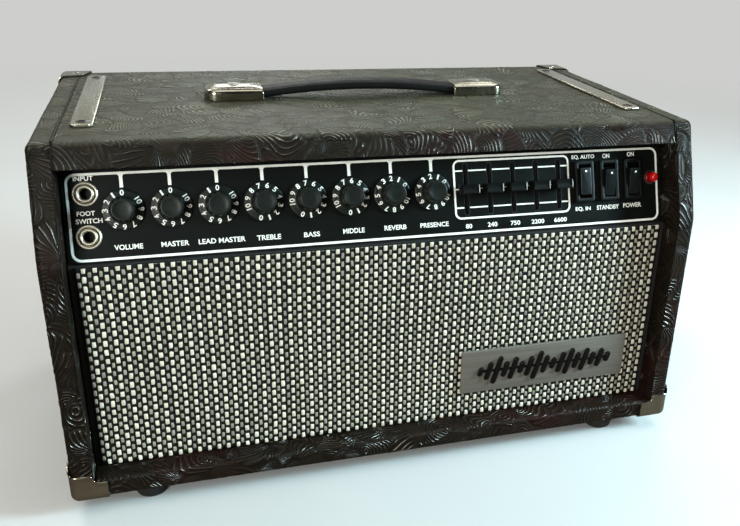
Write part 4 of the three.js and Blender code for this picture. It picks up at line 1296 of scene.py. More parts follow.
# ------------------------------------------------------------------ chassis straps
def strap(side, sign):
    x, half = sign * 217.5, 7.8
    front, back = -76.0, 112.5
    chamfer = 2.6
    x0, x1 = x - half, x + half
    outline = (
        (x0 + chamfer, front), (x1 - chamfer, front), (x1, front + chamfer), (x1, back - chamfer),
        (x1 - chamfer, back), (x0 + chamfer, back), (x0, back - chamfer), (x0, front + chamfer),
    )
    plate = Mesh()
    prism(plate, UP, outline, 279.15, 280.8, bevel=0.5, steps=3)
    name = "chassis_strap_" + side
    plate.build(name + "_plate", "nickel", STRAP, replaces=name, sharp=40)
    screws = Mesh()
    for i, y in enumerate((front + 9.5, back - 9.5)):
        screw(screws, UP.at(x, y, turn=0.7 + i), 4.6, dome=0.75, depth=0.8, base=280.75)
    screws.build(name + "_screws", "nickel", DARK_SCREW)


for side_name, side_sign in SIDES:
    strap(side_name, side_sign)

# ------------------------------------------------------------------ feet
FOOT_X, FOOT_Y = 195, 122
FOOT_PROFILE = (  # (radius, height), from the screw recess round to the top
    (4.7, 6.0), (4.9, 0.5), (5.3, 0.1), (5.9, 0.0), (10.2, 0.0), (10.9, 0.15), (11.6, 0.7),
    (12.0, 1.6), (12.7, 6.0), (13.2, 9.8), (13.5, 10.6), (13.5, 12.8), (13.2, 13.2),
    (12.6, 13.3), (2, 13.3),
)


def foot(name, x, y):
    rubber = Mesh()
    lathe(rubber, UP.at(x, y), FOOT_PROFILE, ends=HIGH)
    lathe(rubber, UP.at(x, y), ((0.2, 6.0), (4.7, 6.0)), ends=OPEN)
    rubber.build(f"foot_{name}_rubber", "foot_rubber", RUBBER, replaces="foot_" + name)
    fixing = Mesh()
    lathe(fixing, facing_down(x, y), ((4.55, -5.9), (4.55, -5.3), (3.9, -5.2)), 36, ends=HIGH)
    screw(fixing, facing_down(x, y, turn=0.4), 3.6, dome=0.8, depth=0.8, base=-5.2)
    fixing.build(f"foot_{name}_screw", "nickel", SCREW)


for end_name, end_sign in (("front", -1), ("rear", 1)):
    for side_name, side_sign in SIDES:
        foot(f"{end_name}_{side_name}", side_sign * FOOT_X, end_sign * FOOT_Y)


# ------------------------------------------------------------------ kept CAD pieces
def keep(node, mat, width, segments):
    """Gives a CAD piece its material and bevelled edges."""
    obj = frame["nodes"][node]
    obj.data.materials.clear()
    obj.data.materials.append(mat)
    bevel = obj.modifiers.new("edges", "BEVEL")
    bevel.width = width * MM
    bevel.segments = segments
    bevel.limit_method = "ANGLE"
    bevel.angle_limit = math.radians(35)


keep("control_panel", PAINT, width=0.15, segments=1)
keep("baffle_board", BOARD, width=0.6, segments=2)
keep("chassis", STEEL, width=0.5, segments=2)
keep("reverb_tank", STEEL, width=0.5, segments=2)
keep("circuit_board", CIRCUIT, width=0.15, segments=1)

# ------------------------------------------------------------------ corner protectors
# Measured from the corner: along x, along y, and z towards the middle of the cabinet.
CORNER_X, CORNER_Y = 27.0, 29.0  # reach along the edges
CORNER_OUT = 1.3  # outer surface beyond the covering
CORNER_LIP = 1.2  # radius of the rim turned in between the boards
CORNER_GRID = 44, 30, 22  # steps along x, along y and along z
SCREW_INSET = 14.0


def resample(points, count):
    """count + 1 evenly spaced points along a polyline."""
    points = np.array(points)
    lengths = np.linalg.norm(np.diff(points, axis=0), axis=1)
    place = np.concatenate([[0], np.cumsum(lengths)])
    even = np.linspace(0, place[-1], count + 1)
    return np.stack([np.interp(even, place, points[:, k]) for k in (0, 1)], -1)


def scoop_line(board):
    """(x, z) of the scooped edge: across the side board, then down to the level board."""
    crest, bend = board + 6.7, 2.9
    line = [(0.0, crest), (6.0, crest)]
    for angle in np.linspace(0, 1.32, 8):
        x = 16.9 - bend + bend * math.sin(angle)
        line.append((x, crest - bend + bend * math.cos(angle)))
    x, z = line[-1]
    for angle in np.linspace(0.12, math.pi / 2, 10):
        line.append((x + 5.6 * (1 - math.cos(angle)), board + (z - board) * (1 - math.sin(angle))))
    return line + [(CORNER_X, board)]


def side_line(board):
    """(y, z) of the edge on the cabinet's side."""
    line = [
        (0.0, board + 5.45), (0.4, board + 6.35), (1.25, board + 6.75), (3.2, board + 9.7),
        (7.0, 29.0), (17.0, 29.4),
    ]
    angles = np.linspace(0.2, math.pi / 2, 8)
    return line + [(17.0 + 12.0 * math.sin(a), 17.4 + 12.0 * math.cos(a)) for a in angles]


def corner_patches(board):
    """The three flanges: grids of points, and how far each point stands proud at the rim."""
    count_x, count_y, count_z = CORNER_GRID
    share_x, share_y = np.linspace(0, 1, count_x + 1), np.linspace(0, 1, count_y + 1)
    share_z = 1 - (1 - np.linspace(0, 1, count_z + 1)) ** 1.5
    edge_x, edge_y = CORNER_X * share_x, CORNER_Y * share_y

    def swell(edge, line):
        length = np.hypot(edge - line[:, 0], line[:, 1])
        return np.exp(-(((1 - share_z)[None] * length[:, None] / 1.5) ** 2))

    def fan(edge, line):
        """From the points of a straight edge to those of a line."""
        across = edge[:, None] * (1 - share_z) + line[:, 0][:, None] * share_z
        return across, line[:, 1][:, None] * share_z

    # front or back flange, its edge turned in between the boards
    line = resample(scoop_line(board), count_x)
    tangent = unit(np.gradient(line, axis=0))
    outward = np.stack([-tangent[:, 1], tangent[:, 0]], -1)
    outward = np.where((outward[:, 1] < 0)[:, None], -outward, outward)
    start = line - outward * CORNER_LIP
    across, height = fan(edge_x, start)
    points = np.stack([across, np.zeros_like(across), height], -1)
    scoop = np.clip((line[:, 0] - 15.2) / 2.4, 0, 1)
    scoop = scoop * scoop * (3 - 2 * scoop)
    lip_angles = np.linspace(0.2, 1, 6) * math.pi / 2
    lips = []
    for angle in lip_angles:
        edge = line + outward * CORNER_LIP * (math.sin(angle) - 1)
        inward = np.full(count_x + 1, CORNER_LIP * (1 - math.cos(angle)))
        lips.append(np.stack([edge[:, 0], inward, edge[:, 1]], -1))
    for depth in (0.8, 2.4):
        inward = CORNER_LIP + depth * scoop + 0.15
        lips.append(np.stack([line[:, 0], inward, line[:, 1]], -1))
    points = np.concatenate([points, np.stack(lips, 1)], 1)
    fade = np.concatenate([np.cos(lip_angles), [0.0, 0.0]])
    fade = np.repeat(fade[None], count_x + 1, 0)
    yield points, np.concatenate([swell(edge_x, start), fade], 1)

    # side flange
    line = resample(side_line(board), count_y)
    across, height = fan(edge_y, line)
    yield np.stack([np.zeros_like(across), across, height], -1), swell(edge_y, line)

    # top or bottom flange
    x, y = np.meshgrid(share_x, share_y, indexing="ij")
    flat = np.zeros_like(x)
    level = [CORNER_X * x * (1 - 0.2 * y**2), CORNER_Y * y * (1 - 0.2 * x**2), flat]
    yield np.stack(level, -1), flat


def finish_sheet(obj):
    """Welds the flanges, swells the rim, and gives the sheet its thickness."""
    sheet = bmesh.new()
    sheet.from_mesh(obj.data)
    bmesh.ops.remove_doubles(sheet, verts=sheet.verts, dist=2e-5)
    bmesh.ops.dissolve_degenerate(sheet, dist=1e-6, edges=sheet.edges)
    sheet.normal_update()
    rim = sheet.verts.layers.float.get("rim")
    for vert in sheet.verts:
        vert.co = vert.co + vert.normal * (vert[rim] * 0.6 * MM)
    sheet.to_mesh(obj.data)
    sheet.free()
    obj.data.polygons.foreach_set("use_smooth", np.ones(len(obj.data.polygons), bool))
    metal = obj.modifiers.new("metal", "SOLIDIFY")
    metal.thickness = 1.05 * MM
    metal.offset = -1
    metal.use_even_offset = False
    edge = obj.modifiers.new("edge", "BEVEL")
    edge.width = 0.3 * MM
    edge.segments = 2
    edge.limit_method = "ANGLE"
    edge.angle_limit = math.radians(50)


def protector(name, sx, sy, sz):
    """A pressed corner with its screws; sx, sy and sz are the signs of its place."""
    outer_x, outer_y = SIDE_X + CORNER_OUT, BACK_Y + CORNER_OUT
    low_z, high_z = BOTTOM_Z - CORNER_OUT, TOP_Z + CORNER_OUT
    screw_z = TOP_Z - SCREW_INSET if sz > 0 else BOTTOM_Z + SCREW_INSET
    inside = np.array([sx * 236.0, sy * 130.0, screw_z])
    mesh, rims = Mesh(), []
    for grid, proud in corner_patches(board=18.9 if sz > 0 else 17.0):
        x, y, z = grid.reshape(-1, 3).T
        z = high_z - z if sz > 0 else low_z + z
        points = rounded(
            np.stack([sx * (outer_x - x), sy * (outer_y - y), z], -1),
            (-outer_x, -outer_y, low_z), (outer_x, outer_y, high_z),
            (6.3, 5.9, 6.3), (6.3, 5.9, 6.7),
        )
        quads = sheet_quads(*grid.shape[:2])
        corners = points[quads]
        normals = np.cross(corners[:, 2] - corners[:, 0], corners[:, 3] - corners[:, 1])
        if (normals * (corners.mean(1) - inside)).sum(1).mean() < 0:
            quads = quads[:, ::-1]  # the whole flange faces outwards
        mesh.add(points, quads)
        rims.append(proud.reshape(-1))
    finish_sheet(mesh.build(f"corner_{name}_pressed", "nickel", NICKEL, sharp=None,
                            replaces="corner_" + name, attribute=("rim", np.concatenate(rims))))

    screws = Mesh()
    side = Basis((sx * outer_x, 0, 0), (0, -sx, 0), (0, 0, 1), (sx, 0, 0))
    for inset, shift in ((9.0, 8.5), (20.5, -3.0)):
        y = sy * (BACK_Y - inset)
        place = side.at(-sx * y, screw_z - sz * shift, turn=0.3 * inset)
        screw(screws, place, 2.9, dome=0.7, depth=0.7, sides=28)
    x, y = sx * (SIDE_X - 13.0), sy * (BACK_Y - SCREW_INSET)
    place = UP.at(x, y, high_z, turn=0.9) if sz > 0 else facing_down(x, y, low_z, turn=0.9)
    screw(screws, place, 2.9, dome=0.7 if sz > 0 else 0.55, depth=0.7, sides=28)
    screws.build(f"corner_{name}_screws", "nickel", SCREW)


for corner_name, y_sign, z_sign in (("bottom_front", -1, -1), ("bottom_rear", 1, -1),
                                    ("top_rear", 1, 1)):
    for side_name, side_sign in SIDES:
        protector(f"{corner_name}_{side_name}", side_sign, y_sign, z_sign)

# ------------------------------------------------------------------ seams
# Outlines as (y, z), clockwise.
SEAM = (
    (-114.5, 276.1), (-112.0, 278.8), (141.2, 278.8), (143.4, 276.4), (143.2, 262.0),
    (-119.2, 262.0),
)
SEAM_FRONT = (
    (-113.0, 262.0), (-113.0, 275.6), (-116.9, 276.9), (-118.4, 275.6), (-121.9, 262.0),
)


def seams():
    """Strips in the joints between the top and each side."""
    mesh = Mesh()
    for _, sign in SIDES:
        place = Basis((sign * 233.46 + 0.5, 0, 0), (0, 1, 0), (0, 0, 1), (-1, 0, 0))
        prism(mesh, place, SEAM[::-1], 0, 1.0)
        prism(mesh, place, SEAM_FRONT, 0, 1.0, mat=1)
    mesh.build("top_seams", "tooled_vinyl", VINYL, VINYL, sharp=30)


seams()


# ------------------------------------------------------------------ tubes under the chassis
def tube_inside(node, place, radius, glass_start, plate_start, plate_end, power):
    """Socket, base and electrodes; materials are ceramic, plate, mica, base, steel."""
    mesh = Mesh()
    socket = (  # share of the radius, height
        (0.98, 0.02), (0.98, 0.7), (0.9, 0.8), (0.9, 5.2), (0.84, 6.0), (0.6, 6.1),
    )
    lathe(mesh, place, [(radius * share, height) for share, height in socket], 40)
    prism(mesh, place, pad(radius * 1.12, radius * 0.5, 2.0, 4), 0.0, 1.0, bevel=0.2, mat=4)
    for sign in (-1, 1):
        lathe(mesh, place.at(sign * radius, 0), ((1.7, 1.0), (1.7, 1.7), (1.2, 2.1)), 16, mat=4)
    if power:
        base = ((0.93, 6.1), (0.97, 6.6), (0.97, 14.0), (0.9, 15.0), (0.5, 15.1))
        lathe(mesh, place, [(radius * share, height) for share, height in base], 40, mat=3)
        prism(mesh, place, pad(6.6, 3.3, 2.4, 5), plate_start, plate_end, bevel=0.2, mat=1)
        for sign in (-1, 1):
            fin = pad(1.6, 0.35, 0.1, 2, x=sign * 8.0)
            prism(mesh, place, fin, plate_start, plate_end, mat=1)
            for share in (0.25, 0.5, 0.75):
                height = plate_start + (plate_end - plate_start) * share
                band = pad(6.9, 3.6, 2.6, 5)
                prism(mesh, place, band, height - 0.5, height + 0.5, bevel=0.15, mat=1)
    else:
        for sign in (-1, 1):
            plate, fin = (pad(2.9, 2.1, 1.6, 5, x=sign * 4.0), pad(0.25, 3.6, 0.1, 2, x=sign * 4.0))
            prism(mesh, place, plate, plate_start, plate_end, bevel=0.2, mat=1)
            prism(mesh, place, fin, plate_start, plate_end, mat=1)
    for height in (plate_start - 1.2, plate_end + 0.8):  # mica spacers
        lathe(mesh, place, ((radius * 0.86, height), (radius * 0.86, height + 0.4)), 32, mat=2)
    for k in range(6):  # rods
        angle = k * math.pi / 3 + 0.3
        rod = place.at(3.9 * math.cos(angle), 3.0 * math.sin(angle))
        lathe(mesh, rod, ((0.35, glass_start), (0.35, plate_end + 2.5)), 8, mat=4)
    ring = ((2.8, 4.2), (3.3, 4.4), (3.3, 5.0), (2.8, 5.2))
    lathe(mesh, place, [(reach, plate_end + height) for reach, height in ring], 24, mat=4)
    mesh.build(node + "_inside", "tube_glass", CERAMIC, PLATE, MICA, BASE, STEEL, replaces=node)


def glass_dome(radius, start, height, angles):
    return [
        (radius * (0.28 + 0.72 * math.cos(angle)), start + height * math.sin(angle))
        for angle in angles
    ]


def tube(node, x, radius, length, power):
    place = facing_down(x, 58, CHASSIS_UNDER_Z)
    start = 15.0 if power else 6.4
    tube_inside(node, place, radius, start, start + 9.0, length * 0.76, power)
    # glass with a pip, silvered at its end
    profile = [
        (radius * 0.80, start), (radius * 0.9, start + 1.2), (radius * 0.985, start + 3.5),
        (radius, start + 6.0), (radius, length * 0.82),
    ]
    profile += glass_dome(radius, length * 0.82, length * 0.135, np.linspace(0.15, 1.45, 9))
    profile += [(radius * 0.2, length * 0.965), (radius * 0.13, length * 0.985),
                (radius * 0.03, length)]
    glass = Mesh()
    lathe(glass, place, profile)
    glass.build(node + "_envelope", "tube_glass", CLEAR, replaces=node, sharp=60)
    inner = radius * 0.955
    profile = [(inner, length * 0.79), (inner, length * 0.83)]
    profile += glass_dome(inner, length * 0.825, length * 0.125, np.linspace(0.15, 1.4, 8))
    getter = Mesh()
    lathe(getter, place, profile, ends=HIGH)
    getter.build(node + "_getter", "tube_glass", GETTER, sharp=60)


for k in range(5):
    tube(f"preamp_tube_{k + 1}", x=-200 + k * 36, radius=10.3, length=58.0, power=False)
for k in range(2):
    tube(f"power_tube_{k + 1}", x=-12 + k * 40, radius=11.0, length=78.0, power=True)


# ------------------------------------------------------------------ transformers
def transformer(node, x, width, depth, height, belled):
    """Hangs from the chassis. Its core is half the depth, with a cover or the winding before
    and behind; materials are iron, cover, wrap, base, screw."""
    y, half, quarter = 30, width / 2, depth / 4
    mesh = Mesh()
    stack = Basis((x, y - quarter, CHASSIS_UNDER_Z), (1, 0, 0), (0, 0, -1), (0, 1, 0))
    count = int(depth / 2 / 1.05)
    pitch = depth / 2 / count
    random = np.random.default_rng(width)
    for k in range(count):
        left, right, low = random.normal(0, 0.06, 3)
        sheet = rrect(-half + 0.15 + left, half - 0.15 + right, 0.05, height - 0.15 + low, 0.3, 2)
        prism(mesh, stack, sheet, k * pitch, k * pitch + pitch * 0.88)
    core = rrect(-half + 0.5, half - 0.5, 0.05, height - 0.5, 0.3, 2)
    prism(mesh, stack, core, 0.02, count * pitch - 0.1)

    def plate(share_x, margin, radius, steps):
        return rrect(-width * share_x, width * share_x, margin, height - margin, radius, steps)

    for sign in (-1, 1):
        end = Basis((x, y + sign * quarter, CHASSIS_UNDER_Z),
                    (sign, 0, 0), (0, 0, -1), (0, sign, 0))
        if belled:
            bell = plate(0.43, height * 0.07, 9, 8)
            prism(mesh, end, bell, 0, quarter, bevel=7.0, mat=1, steps=6)
            prism(mesh, end, plate(0.49, 1.5, 4, 4), 0, 1.3, bevel=0.5, mat=1)
        else:
            winding = plate(0.34, height * 0.18, 5, 6)
            prism(mesh, end, winding, 0, quarter - 0.6, bevel=3.0, mat=2, steps=4)
            prism(mesh, end, plate(0.36, height * 0.16, 6, 6), 0, 2.2, bevel=0.4, mat=3)
        for bolt_x in (-half + 5.5, half - 5.5):
            for drop in (6.0, height - 6.0):
                bolt = end.at(bolt_x, drop, 1.3 if belled else 0.1)
                prism(mesh, bolt, hexagon(3.6), 0, 2.6, bevel=0.5, mat=4)
                lathe(mesh, bolt, ((1.9, 2.6), (1.9, 4.4), (1.5, 4.8)), 16, mat=4)
    mesh.build(node + "_core", "transformer_iron", IRON, BELL, WRAP, BASE, SCREW, replaces=node)

    leads = Mesh()
    count = 6 if belled else 4
    for k in range(count):
        lead_x = x - width * 0.3 + k * width * 0.6 / (count - 1)
        lead_y = y - quarter - 4
        sweep(leads, [
            (lead_x, lead_y, CHASSIS_UNDER_Z - height * 0.2),
            (lead_x - 2, lead_y - 9 - 2 * (k % 2), CHASSIS_UNDER_Z - height * 0.25),
            (lead_x - 5, lead_y - 13 - 3 * (k % 3), CHASSIS_UNDER_Z - 12),
            (lead_x - 5 + k, lead_y - 14, CHASSIS_UNDER_Z - 0.2),
        ], 1.15, mat=k % 5)
    leads.build(node + "_leads", "transformer_iron", *WIRES, sharp=60)


transformer("power_transformer", x=165, width=92, depth=84, height=76, belled=True)
transformer("output_transformer", x=84, width=58, depth=56, height=50, belled=False)

# ------------------------------------------------------------------ rear wall of the chassis
REAR_FITTING_Z = 227.0
# (radius, height)
SOCKET_WASHER = ((9.4, 0.02), (9.4, 1.4), (9.0, 1.9), (7.2, 1.9))
SOCKET_BUSH = ((5.1, 4.2), (5.1, 7.6), (4.7, 8.0), (3.7, 8.0), (3.5, 7.6), (3.5, 4.3))
FUSE_CAP = (
    (8.6, 0.02), (8.6, 2.0), (8.2, 2.4), (6.8, 2.6), (6.7, 9.6), (6.4, 10.6), (5.6, 11.0),
)


def on_chassis_back(x, z=REAR_FITTING_Z, turn=0.0):
    return facing_back(x, CHASSIS_BACK_Y, z, turn)


def rear_sockets():
    mesh = Mesh()
    for x in (-196, -170, -60, -34):
        place = on_chassis_back(x)
        lathe(mesh, place, SOCKET_WASHER, mat=1, ends=LOW)
        prism(mesh, place, hexagon(7.2), 1.6, 4.2, bevel=0.5)
        lathe(mesh, place, SOCKET_BUSH, 40, ends=OPEN)
        lathe(mesh, place, ((3.5, 4.4), (0.3, 4.4)), 24, mat=1, ends=HIGH)
    mesh.build("chassis_rear_sockets", "jack_nickel", JACK, SHADOW, sharp=40)


def fuse_flute(angles, height):
    return 1 - (0.05 * np.abs(np.cos(angles * 9)) ** 2 if 2.6 < height < 10 else 0)


def rear_mains():
    """Fuse cap and mains inlet."""
    mesh = Mesh()
    fuse = on_chassis_back(150)
    lathe(mesh, fuse, FUSE_CAP, flute=fuse_flute)
    prism(mesh, fuse, pad(5.0, 0.7, 0.1, 2), 10.9, 11.15, mat=1)
    inlet = on_chassis_back(196)
    outer, opening = pad(24.5, 13.5, 3.5, 5), pad(13.5, 8.8, [1.2, 1.2, 4.2, 4.2], 5)
    ring_prism(mesh, inlet, outer, opening, 0.02, 4.6, bevel=0.6)
    prism(mesh, inlet, pad(13.5, 8.8, 1.2, 3), 0.02, 0.3, mat=1)
    for x, z in ((-7, -2.2), (0, 2.6), (7, -2.2)):
        prism(mesh, inlet, pad(1.0, 2.2, 0.3, 2, x=x, y=z), 0.2, 3.9, bevel=0.3, mat=2)
    for x in (-20, 20):
        screw(mesh, inlet.at(x, 0, turn=0.5 * x), 3.0, dome=0.8, depth=0.7, mat=2, base=4.5)
    mesh.build("chassis_rear_mains", "control_plastic", BASE, SHADOW, SCREW)


def rear_vents():
    """Two rows of upright vents, and the chassis' fixing screws."""
    mesh = Mesh()
    for first in (8, 92):
        for i in range(7):
            place = on_chassis_back(first + i * 7.2)
            outer, inner = pad(2.3, 17.3, 2.2, 5), pad(1.5, 16.5, 1.4, 5)
            ring_prism(mesh, place, outer, inner, 0.0, 0.75, bevel=0.3)
            prism(mesh, place, pad(1.6, 16.6, 1.5, 5), 0.0, 0.1, mat=1)
    for x in (-222, -120, 74, 222):
        for z in (199.5, 253.0):
            place = on_chassis_back(x, z, turn=0.02 * x)
            screw(mesh, place, 3.4, dome=1.2, depth=0.8, mat=2)
    mesh.build("chassis_rear_vents", "chassis_steel", STEEL, SHADOW, SCREW)


def rear_fixings():
    """Screws in cup washers round the rear panel."""
    washer = ((6.0, 0.0), (6.05, 0.5), (5.6, 1.3), (4.6, 1.7), (3.9, 1.4))
    mesh = Mesh()
    places = [(x, z) for x in (-221, -110, 0, 110, 221) for z in (40.0, 132.0)]
    for i, (x, z) in enumerate(places):
        place = facing_back(x, 137.75, z, turn=0.9 * i)
        lathe(mesh, place, washer, 40, ends=OPEN)
        screw(mesh, place, 3.9, dome=0.7, depth=0.8, mat=1, base=1.2)
    mesh.build("rear_panel_screws", "nickel", NICKEL, DARK_SCREW)


rear_sockets()
rear_mains()
rear_vents()
rear_fixings()

# ------------------------------------------------------------------ circuit board parts
BOARD_Z = 206.75
RESISTOR_PROFILE = (  # (radius, place along its wire)
    (0.4, -6.6), (0.4, -3.4), (1.25, -3.3), (1.45, -2.6), (1.2, -1.9), (1.2, 1.9),
    (1.45, 2.6), (1.25, 3.3), (0.4, 3.4), (0.4, 6.6),
)


def board_parts():
    random = np.random.default_rng(12)
    mesh = Mesh()
    for i in range(44):  # resistors in two rows
        x = -156 + (i % 22) * 14.2 + random.normal(0, 0.4)
        y = -34 + (i // 22) * 62 + random.normal(0, 0.6)
        along_x = Basis((x, y, BOARD_Z + 2.2), (0, 1, 0), (0, 0, 1), (1, 0, 0))
        lathe(mesh, along_x, RESISTOR_PROFILE, 14)
        for sign in (-1, 1):
            joint = UP.at(x + sign * 6.4, y, BOARD_Z)
            lathe(mesh, joint, ((0.9, 0.0), (0.5, 0.5), (0.4, 2.4)), 10, mat=4)
    for i in range(11):  # film capacitors
        place = UP.at(-150 + i * 29.5, -8 + 5 * (i % 2), BOARD_Z)
        prism(mesh, place, pad(8, 3.4, 1.5, 4), 0.05, 12.5, bevel=1.6, mat=1, steps=4)
    for i in range(7):  # upright can capacitors
        place = UP.at(-136 + i * 44, 50, BOARD_Z)
        radius, height = (7.5, 22) if i % 3 else (9.5, 30)
        sleeve = (
            (radius, 0.05), (radius, 1.0), (radius * 0.94, 1.7), (radius, 2.4),
            (radius, height - 1.0), (radius * 0.93, height),
        )
        top = ((radius * 0.93, height), (radius * 0.9, height - 0.4), (0.2, height - 0.4))
        lathe(mesh, place, sleeve, 40, mat=2, ends=LOW)
        lathe(mesh, place, top, 40, mat=3, ends=HIGH)
    mesh.build("circuit_board_parts", "circuit_board", RESISTOR, FILM, CAN, SOLDER, SOLDER,
               sharp=40)


# ------------------------------------------------------------------ reverb tank parts
SPRING_X, SPRING_Z = 168, 48  # half length, height of the ends
REVERB_SOCKET = (  # (radius, height)
    (7.2, 0), (7.2, 1.2), (4.2, 1.4), (4.2, 8.6), (3.6, 9.0), (2.0, 9.0), (1.9, 8.0),
)


def spring(mesh, y, turns):
    """A coil along x that sags in the middle."""
    x = np.linspace(-SPRING_X, SPRING_X, 2600)
    angle = (x + SPRING_X) / (2 * SPRING_X) * turns * 2 * math.pi
    sag = 1.5 * np.cos(x / SPRING_X * math.pi / 2)
    coil_y, coil_z = y + 2.4 * np.cos(angle), SPRING_Z - sag + 2.4 * np.sin(angle)
    centres = np.stack([x, coil_y, coil_z], -1)
    tangents = unit(np.gradient(centres, axis=0))
    normals = np.stack([np.zeros(len(x)), np.cos(angle), np.sin(angle)], -1)
    pipe(mesh, centres, tangents, normals, radius=0.38, sides=5, ends=OPEN)


def reverb_parts():
    mesh = Mesh()
    for y, turns in ((30.0, 150), (60.0, 161)):
        spring(mesh, y, turns)
        for sign in (-1, 1):
            place = UP.at(sign * 182, y, 31.9)
            prism(mesh, place, pad(8, 9, 1.5, 4), 0, 22, bevel=1.0, mat=1)
            prism(mesh, place, pad(13, 5, 1, 3), 2, 15, bevel=0.6, mat=2)
            hook = [(sign * 174, y, SPRING_Z), (sign * 171, y, 50.5),
                    (sign * SPRING_X, y, SPRING_Z)]
            sweep(mesh, hook, 0.5)
    for sign in (-1, 1):
        place = facing_back(sign * 190, 100.0, 50)
        lathe(mesh, place, REVERB_SOCKET, 36, mat=3, ends=LOW)
        lathe(mesh, place, ((1.9, 8.0), (0.2, 8.0)), 24, mat=2, ends=HIGH)
    mesh.build("reverb_tank_springs", "chassis_steel", STEEL, IRON, BASE, JACK, sharp=40)
    leads = Mesh()
    for mat, sign in enumerate((-1, 1)):
        sweep(leads, [
            (sign * 190, 109, 50), (sign * 190, 120, 54), (sign * 178, 118, 120),
            (sign * 150, 96, 172), (sign * 140, 84, CHASSIS_UNDER_Z),
        ], 1.9, mat=mat, sides=12)
    leads.build("reverb_leads", "control_plastic", WIRES[0], WIRES[0], sharp=60)


board_parts()
reverb_parts()

# ------------------------------------------------------------------ stage, in metres
BACKDROP = srgb((206, 207, 204))


def floor_material():
    """Pale to the camera, darker and browner to other rays, fading into the backdrop."""
    mat, nodes, bsdf = new_material("floor_mat")
    ray = nodes.new("LightPath").outputs
    mottle = nodes.remap(nodes.noise(3), (0.3, 0.7))
    seen = nodes.mix(mottle, srgb((198, 198, 195)), srgb((193, 193, 190)))
    unseen = nodes.mix(ray["Is Glossy Ray"], srgb((106, 90, 80)), srgb((102, 90, 80)))
    nodes.fill(bsdf, {
        "Base Color": nodes.mix(ray["Is Camera Ray"], unseen, seen),
        "Roughness": 0.7, "Specular IOR Level": 0.2,
    })
    distance = nodes.new("VectorMath")
    distance.operation = "LENGTH"
    nodes.fill(distance, {0: nodes.new("NewGeometry").outputs["Position"]})
    fade = nodes.remap(distance.outputs["Value"], (0.55, 2.1), (0.0, 1.0), smooth=True)
    glow = nodes.new("Emission")
    nodes.fill(glow, {"Color": BACKDROP})
    blend = nodes.new("MixShader")
    amount = nodes.times(fade, ray["Is Camera Ray"])
    nodes.fill(blend, {0: amount, 1: bsdf.outputs[0], 2: glow.outputs[0]})
    output = nodes.tree.nodes["Material Output"]
    nodes.fill(output, {"Surface": blend.outputs[0]})
    return mat


def floor():
    radii, sides = (0.5, 1.0, 2.0, 4.0, 10.0, 30.0), 64
    angles = [2 * math.pi * i / sides for i in range(sides)]
    points = [(0, 0, 0)]
    for radius in radii:
        points += [(radius * math.cos(a), radius * math.sin(a), 0) for a in angles]
    faces = [(0, 1 + i, 1 + (i + 1) % sides) for i in range(sides)]
    faces += (ring_faces(len(radii), sides)[:, [0, 3, 2, 1]] + 1).tolist()
    mesh = bpy.data.meshes.new("floor")
    mesh.from_pydata(points, [], faces)
    obj = bpy.data.objects.new("floor", mesh)
    bpy.context.scene.collection.objects.link(obj)
    mesh.materials.append(floor_material())


def world():
    """A bright wall behind, a darker room in front, and the plain backdrop to the camera."""
    scene_world = bpy.data.worlds.new("w")
    bpy.context.scene.world = scene_world
    scene_world.use_nodes = True
    nodes = Nodes(scene_world.node_tree)
    _, y, z = nodes.separate(nodes.texture.outputs["Generated"])
    wall = nodes.times(
        nodes.remap(y, (-0.2, 0.8), (0.0, 1.0)), nodes.remap(z, (0.0, 0.9), (1.0, 0.45))
    )
    overhead = nodes.remap(z, (0.72, 0.95), (0.0, 0.5))
    bright = nodes.math("MAXIMUM", wall, overhead)
    room = nodes.mix(bright, (0.022, 0.024, 0.025, 1), (0.44, 0.47, 0.45, 1))
    camera_ray = nodes.new("LightPath").outputs["Is Camera Ray"]
    color = nodes.mix(camera_ray, room, BACKDROP)
    background = scene_world.node_tree.nodes["Background"]
    nodes.fill(background, {"Color": color, "Strength": 1.0})


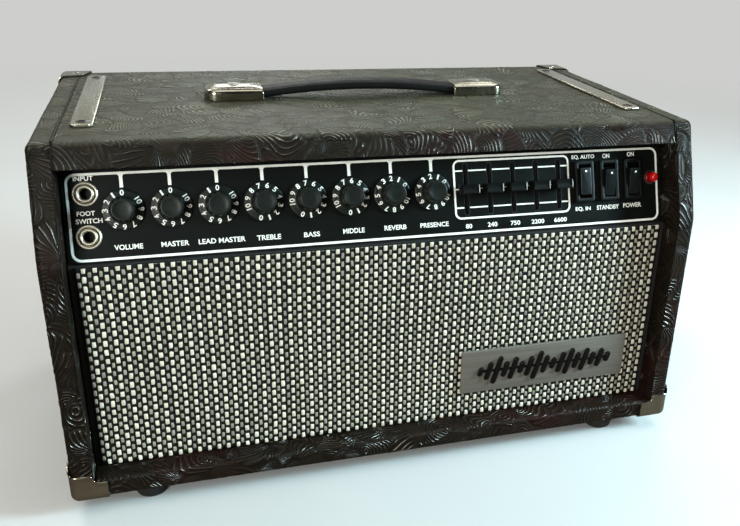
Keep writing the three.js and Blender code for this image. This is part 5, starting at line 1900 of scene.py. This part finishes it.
def area_light(name, place, target, size, power, color):
    """size is (width, height)."""
    light = bpy.data.lights.new(name, "AREA")
    light.shape = "RECTANGLE"
    light.size, light.size_y = size
    light.energy = power
    light.color = color
    obj = bpy.data.objects.new(name, light)
    bpy.context.scene.collection.objects.link(obj)
    obj.location = place
    direction = Vector(target) - Vector(place)
    obj.rotation_mode = "QUATERNION"
    obj.rotation_quaternion = direction.to_track_quat("-Z", "Y")


def camera():
    yaw, pitch, roll = 0.3162, 0.4036, 0.0415  # to the right, down, about the view; radians
    data = bpy.data.cameras.new("camera")
    obj = bpy.data.objects.new("camera", data)
    bpy.context.scene.collection.objects.link(obj)
    bpy.context.scene.camera = obj
    data.sensor_width = 36.0
    data.lens = 40.289351
    data.shift_x = -0.0878
    data.shift_y = 0.0080
    data.clip_start, data.clip_end = 0.01, 50
    level = math.cos(pitch)
    forward = Vector((math.sin(yaw) * level, math.cos(yaw) * level, -math.sin(pitch)))
    right = Vector((math.cos(yaw), -math.sin(yaw), 0))
    up = right.cross(forward)
    rolled_right = math.cos(roll) * right + math.sin(roll) * up
    rolled_up = -math.sin(roll) * right + math.cos(roll) * up
    matrix = Matrix((rolled_right, rolled_up, -forward)).transposed().to_4x4()
    matrix.translation = Vector((-0.1551, -0.6934, 0.4247))
    obj.matrix_world = matrix


floor()
world()
area_light("key_right", (1.25, -0.55, 0.62), target=(0.15, 0, 0.15), size=(0.32, 0.4),
           power=46, color=(0.6, 0.88, 1.0))
area_light("left_fill", (-0.98, -1.62, 0.68), target=(0, 0, 0.15), size=(0.6, 0.8),
           power=30, color=(0.98, 1.0, 0.97))
area_light("overhead", (0.0, -0.45, 2.2), target=(0, 0, 0.15), size=(2.4, 1.2),
           power=20, color=(1.0, 0.98, 0.95))
area_light("rear_left", (-1.0, 1.2, 1.9), target=(0, 0.1, 0.12), size=(0.7, 0.7),
           power=18, color=(1.0, 0.98, 0.95))
area_light("rear_right", (1.0, 1.2, 1.9), target=(0, 0.1, 0.12), size=(0.7, 0.7),
           power=13, color=(0.95, 0.98, 1.0))
area_light("back_top", (0.1, 1.7, 1.05), target=(0, 0.0, 0.28), size=(0.5, 0.5),
           power=6.5, color=(0.96, 1.0, 0.98))
camera()

view = bpy.context.scene.view_settings
view.view_transform = "Standard"
view.look = "None"
view.exposure = 0.0

bpy.context.view_layer.update()
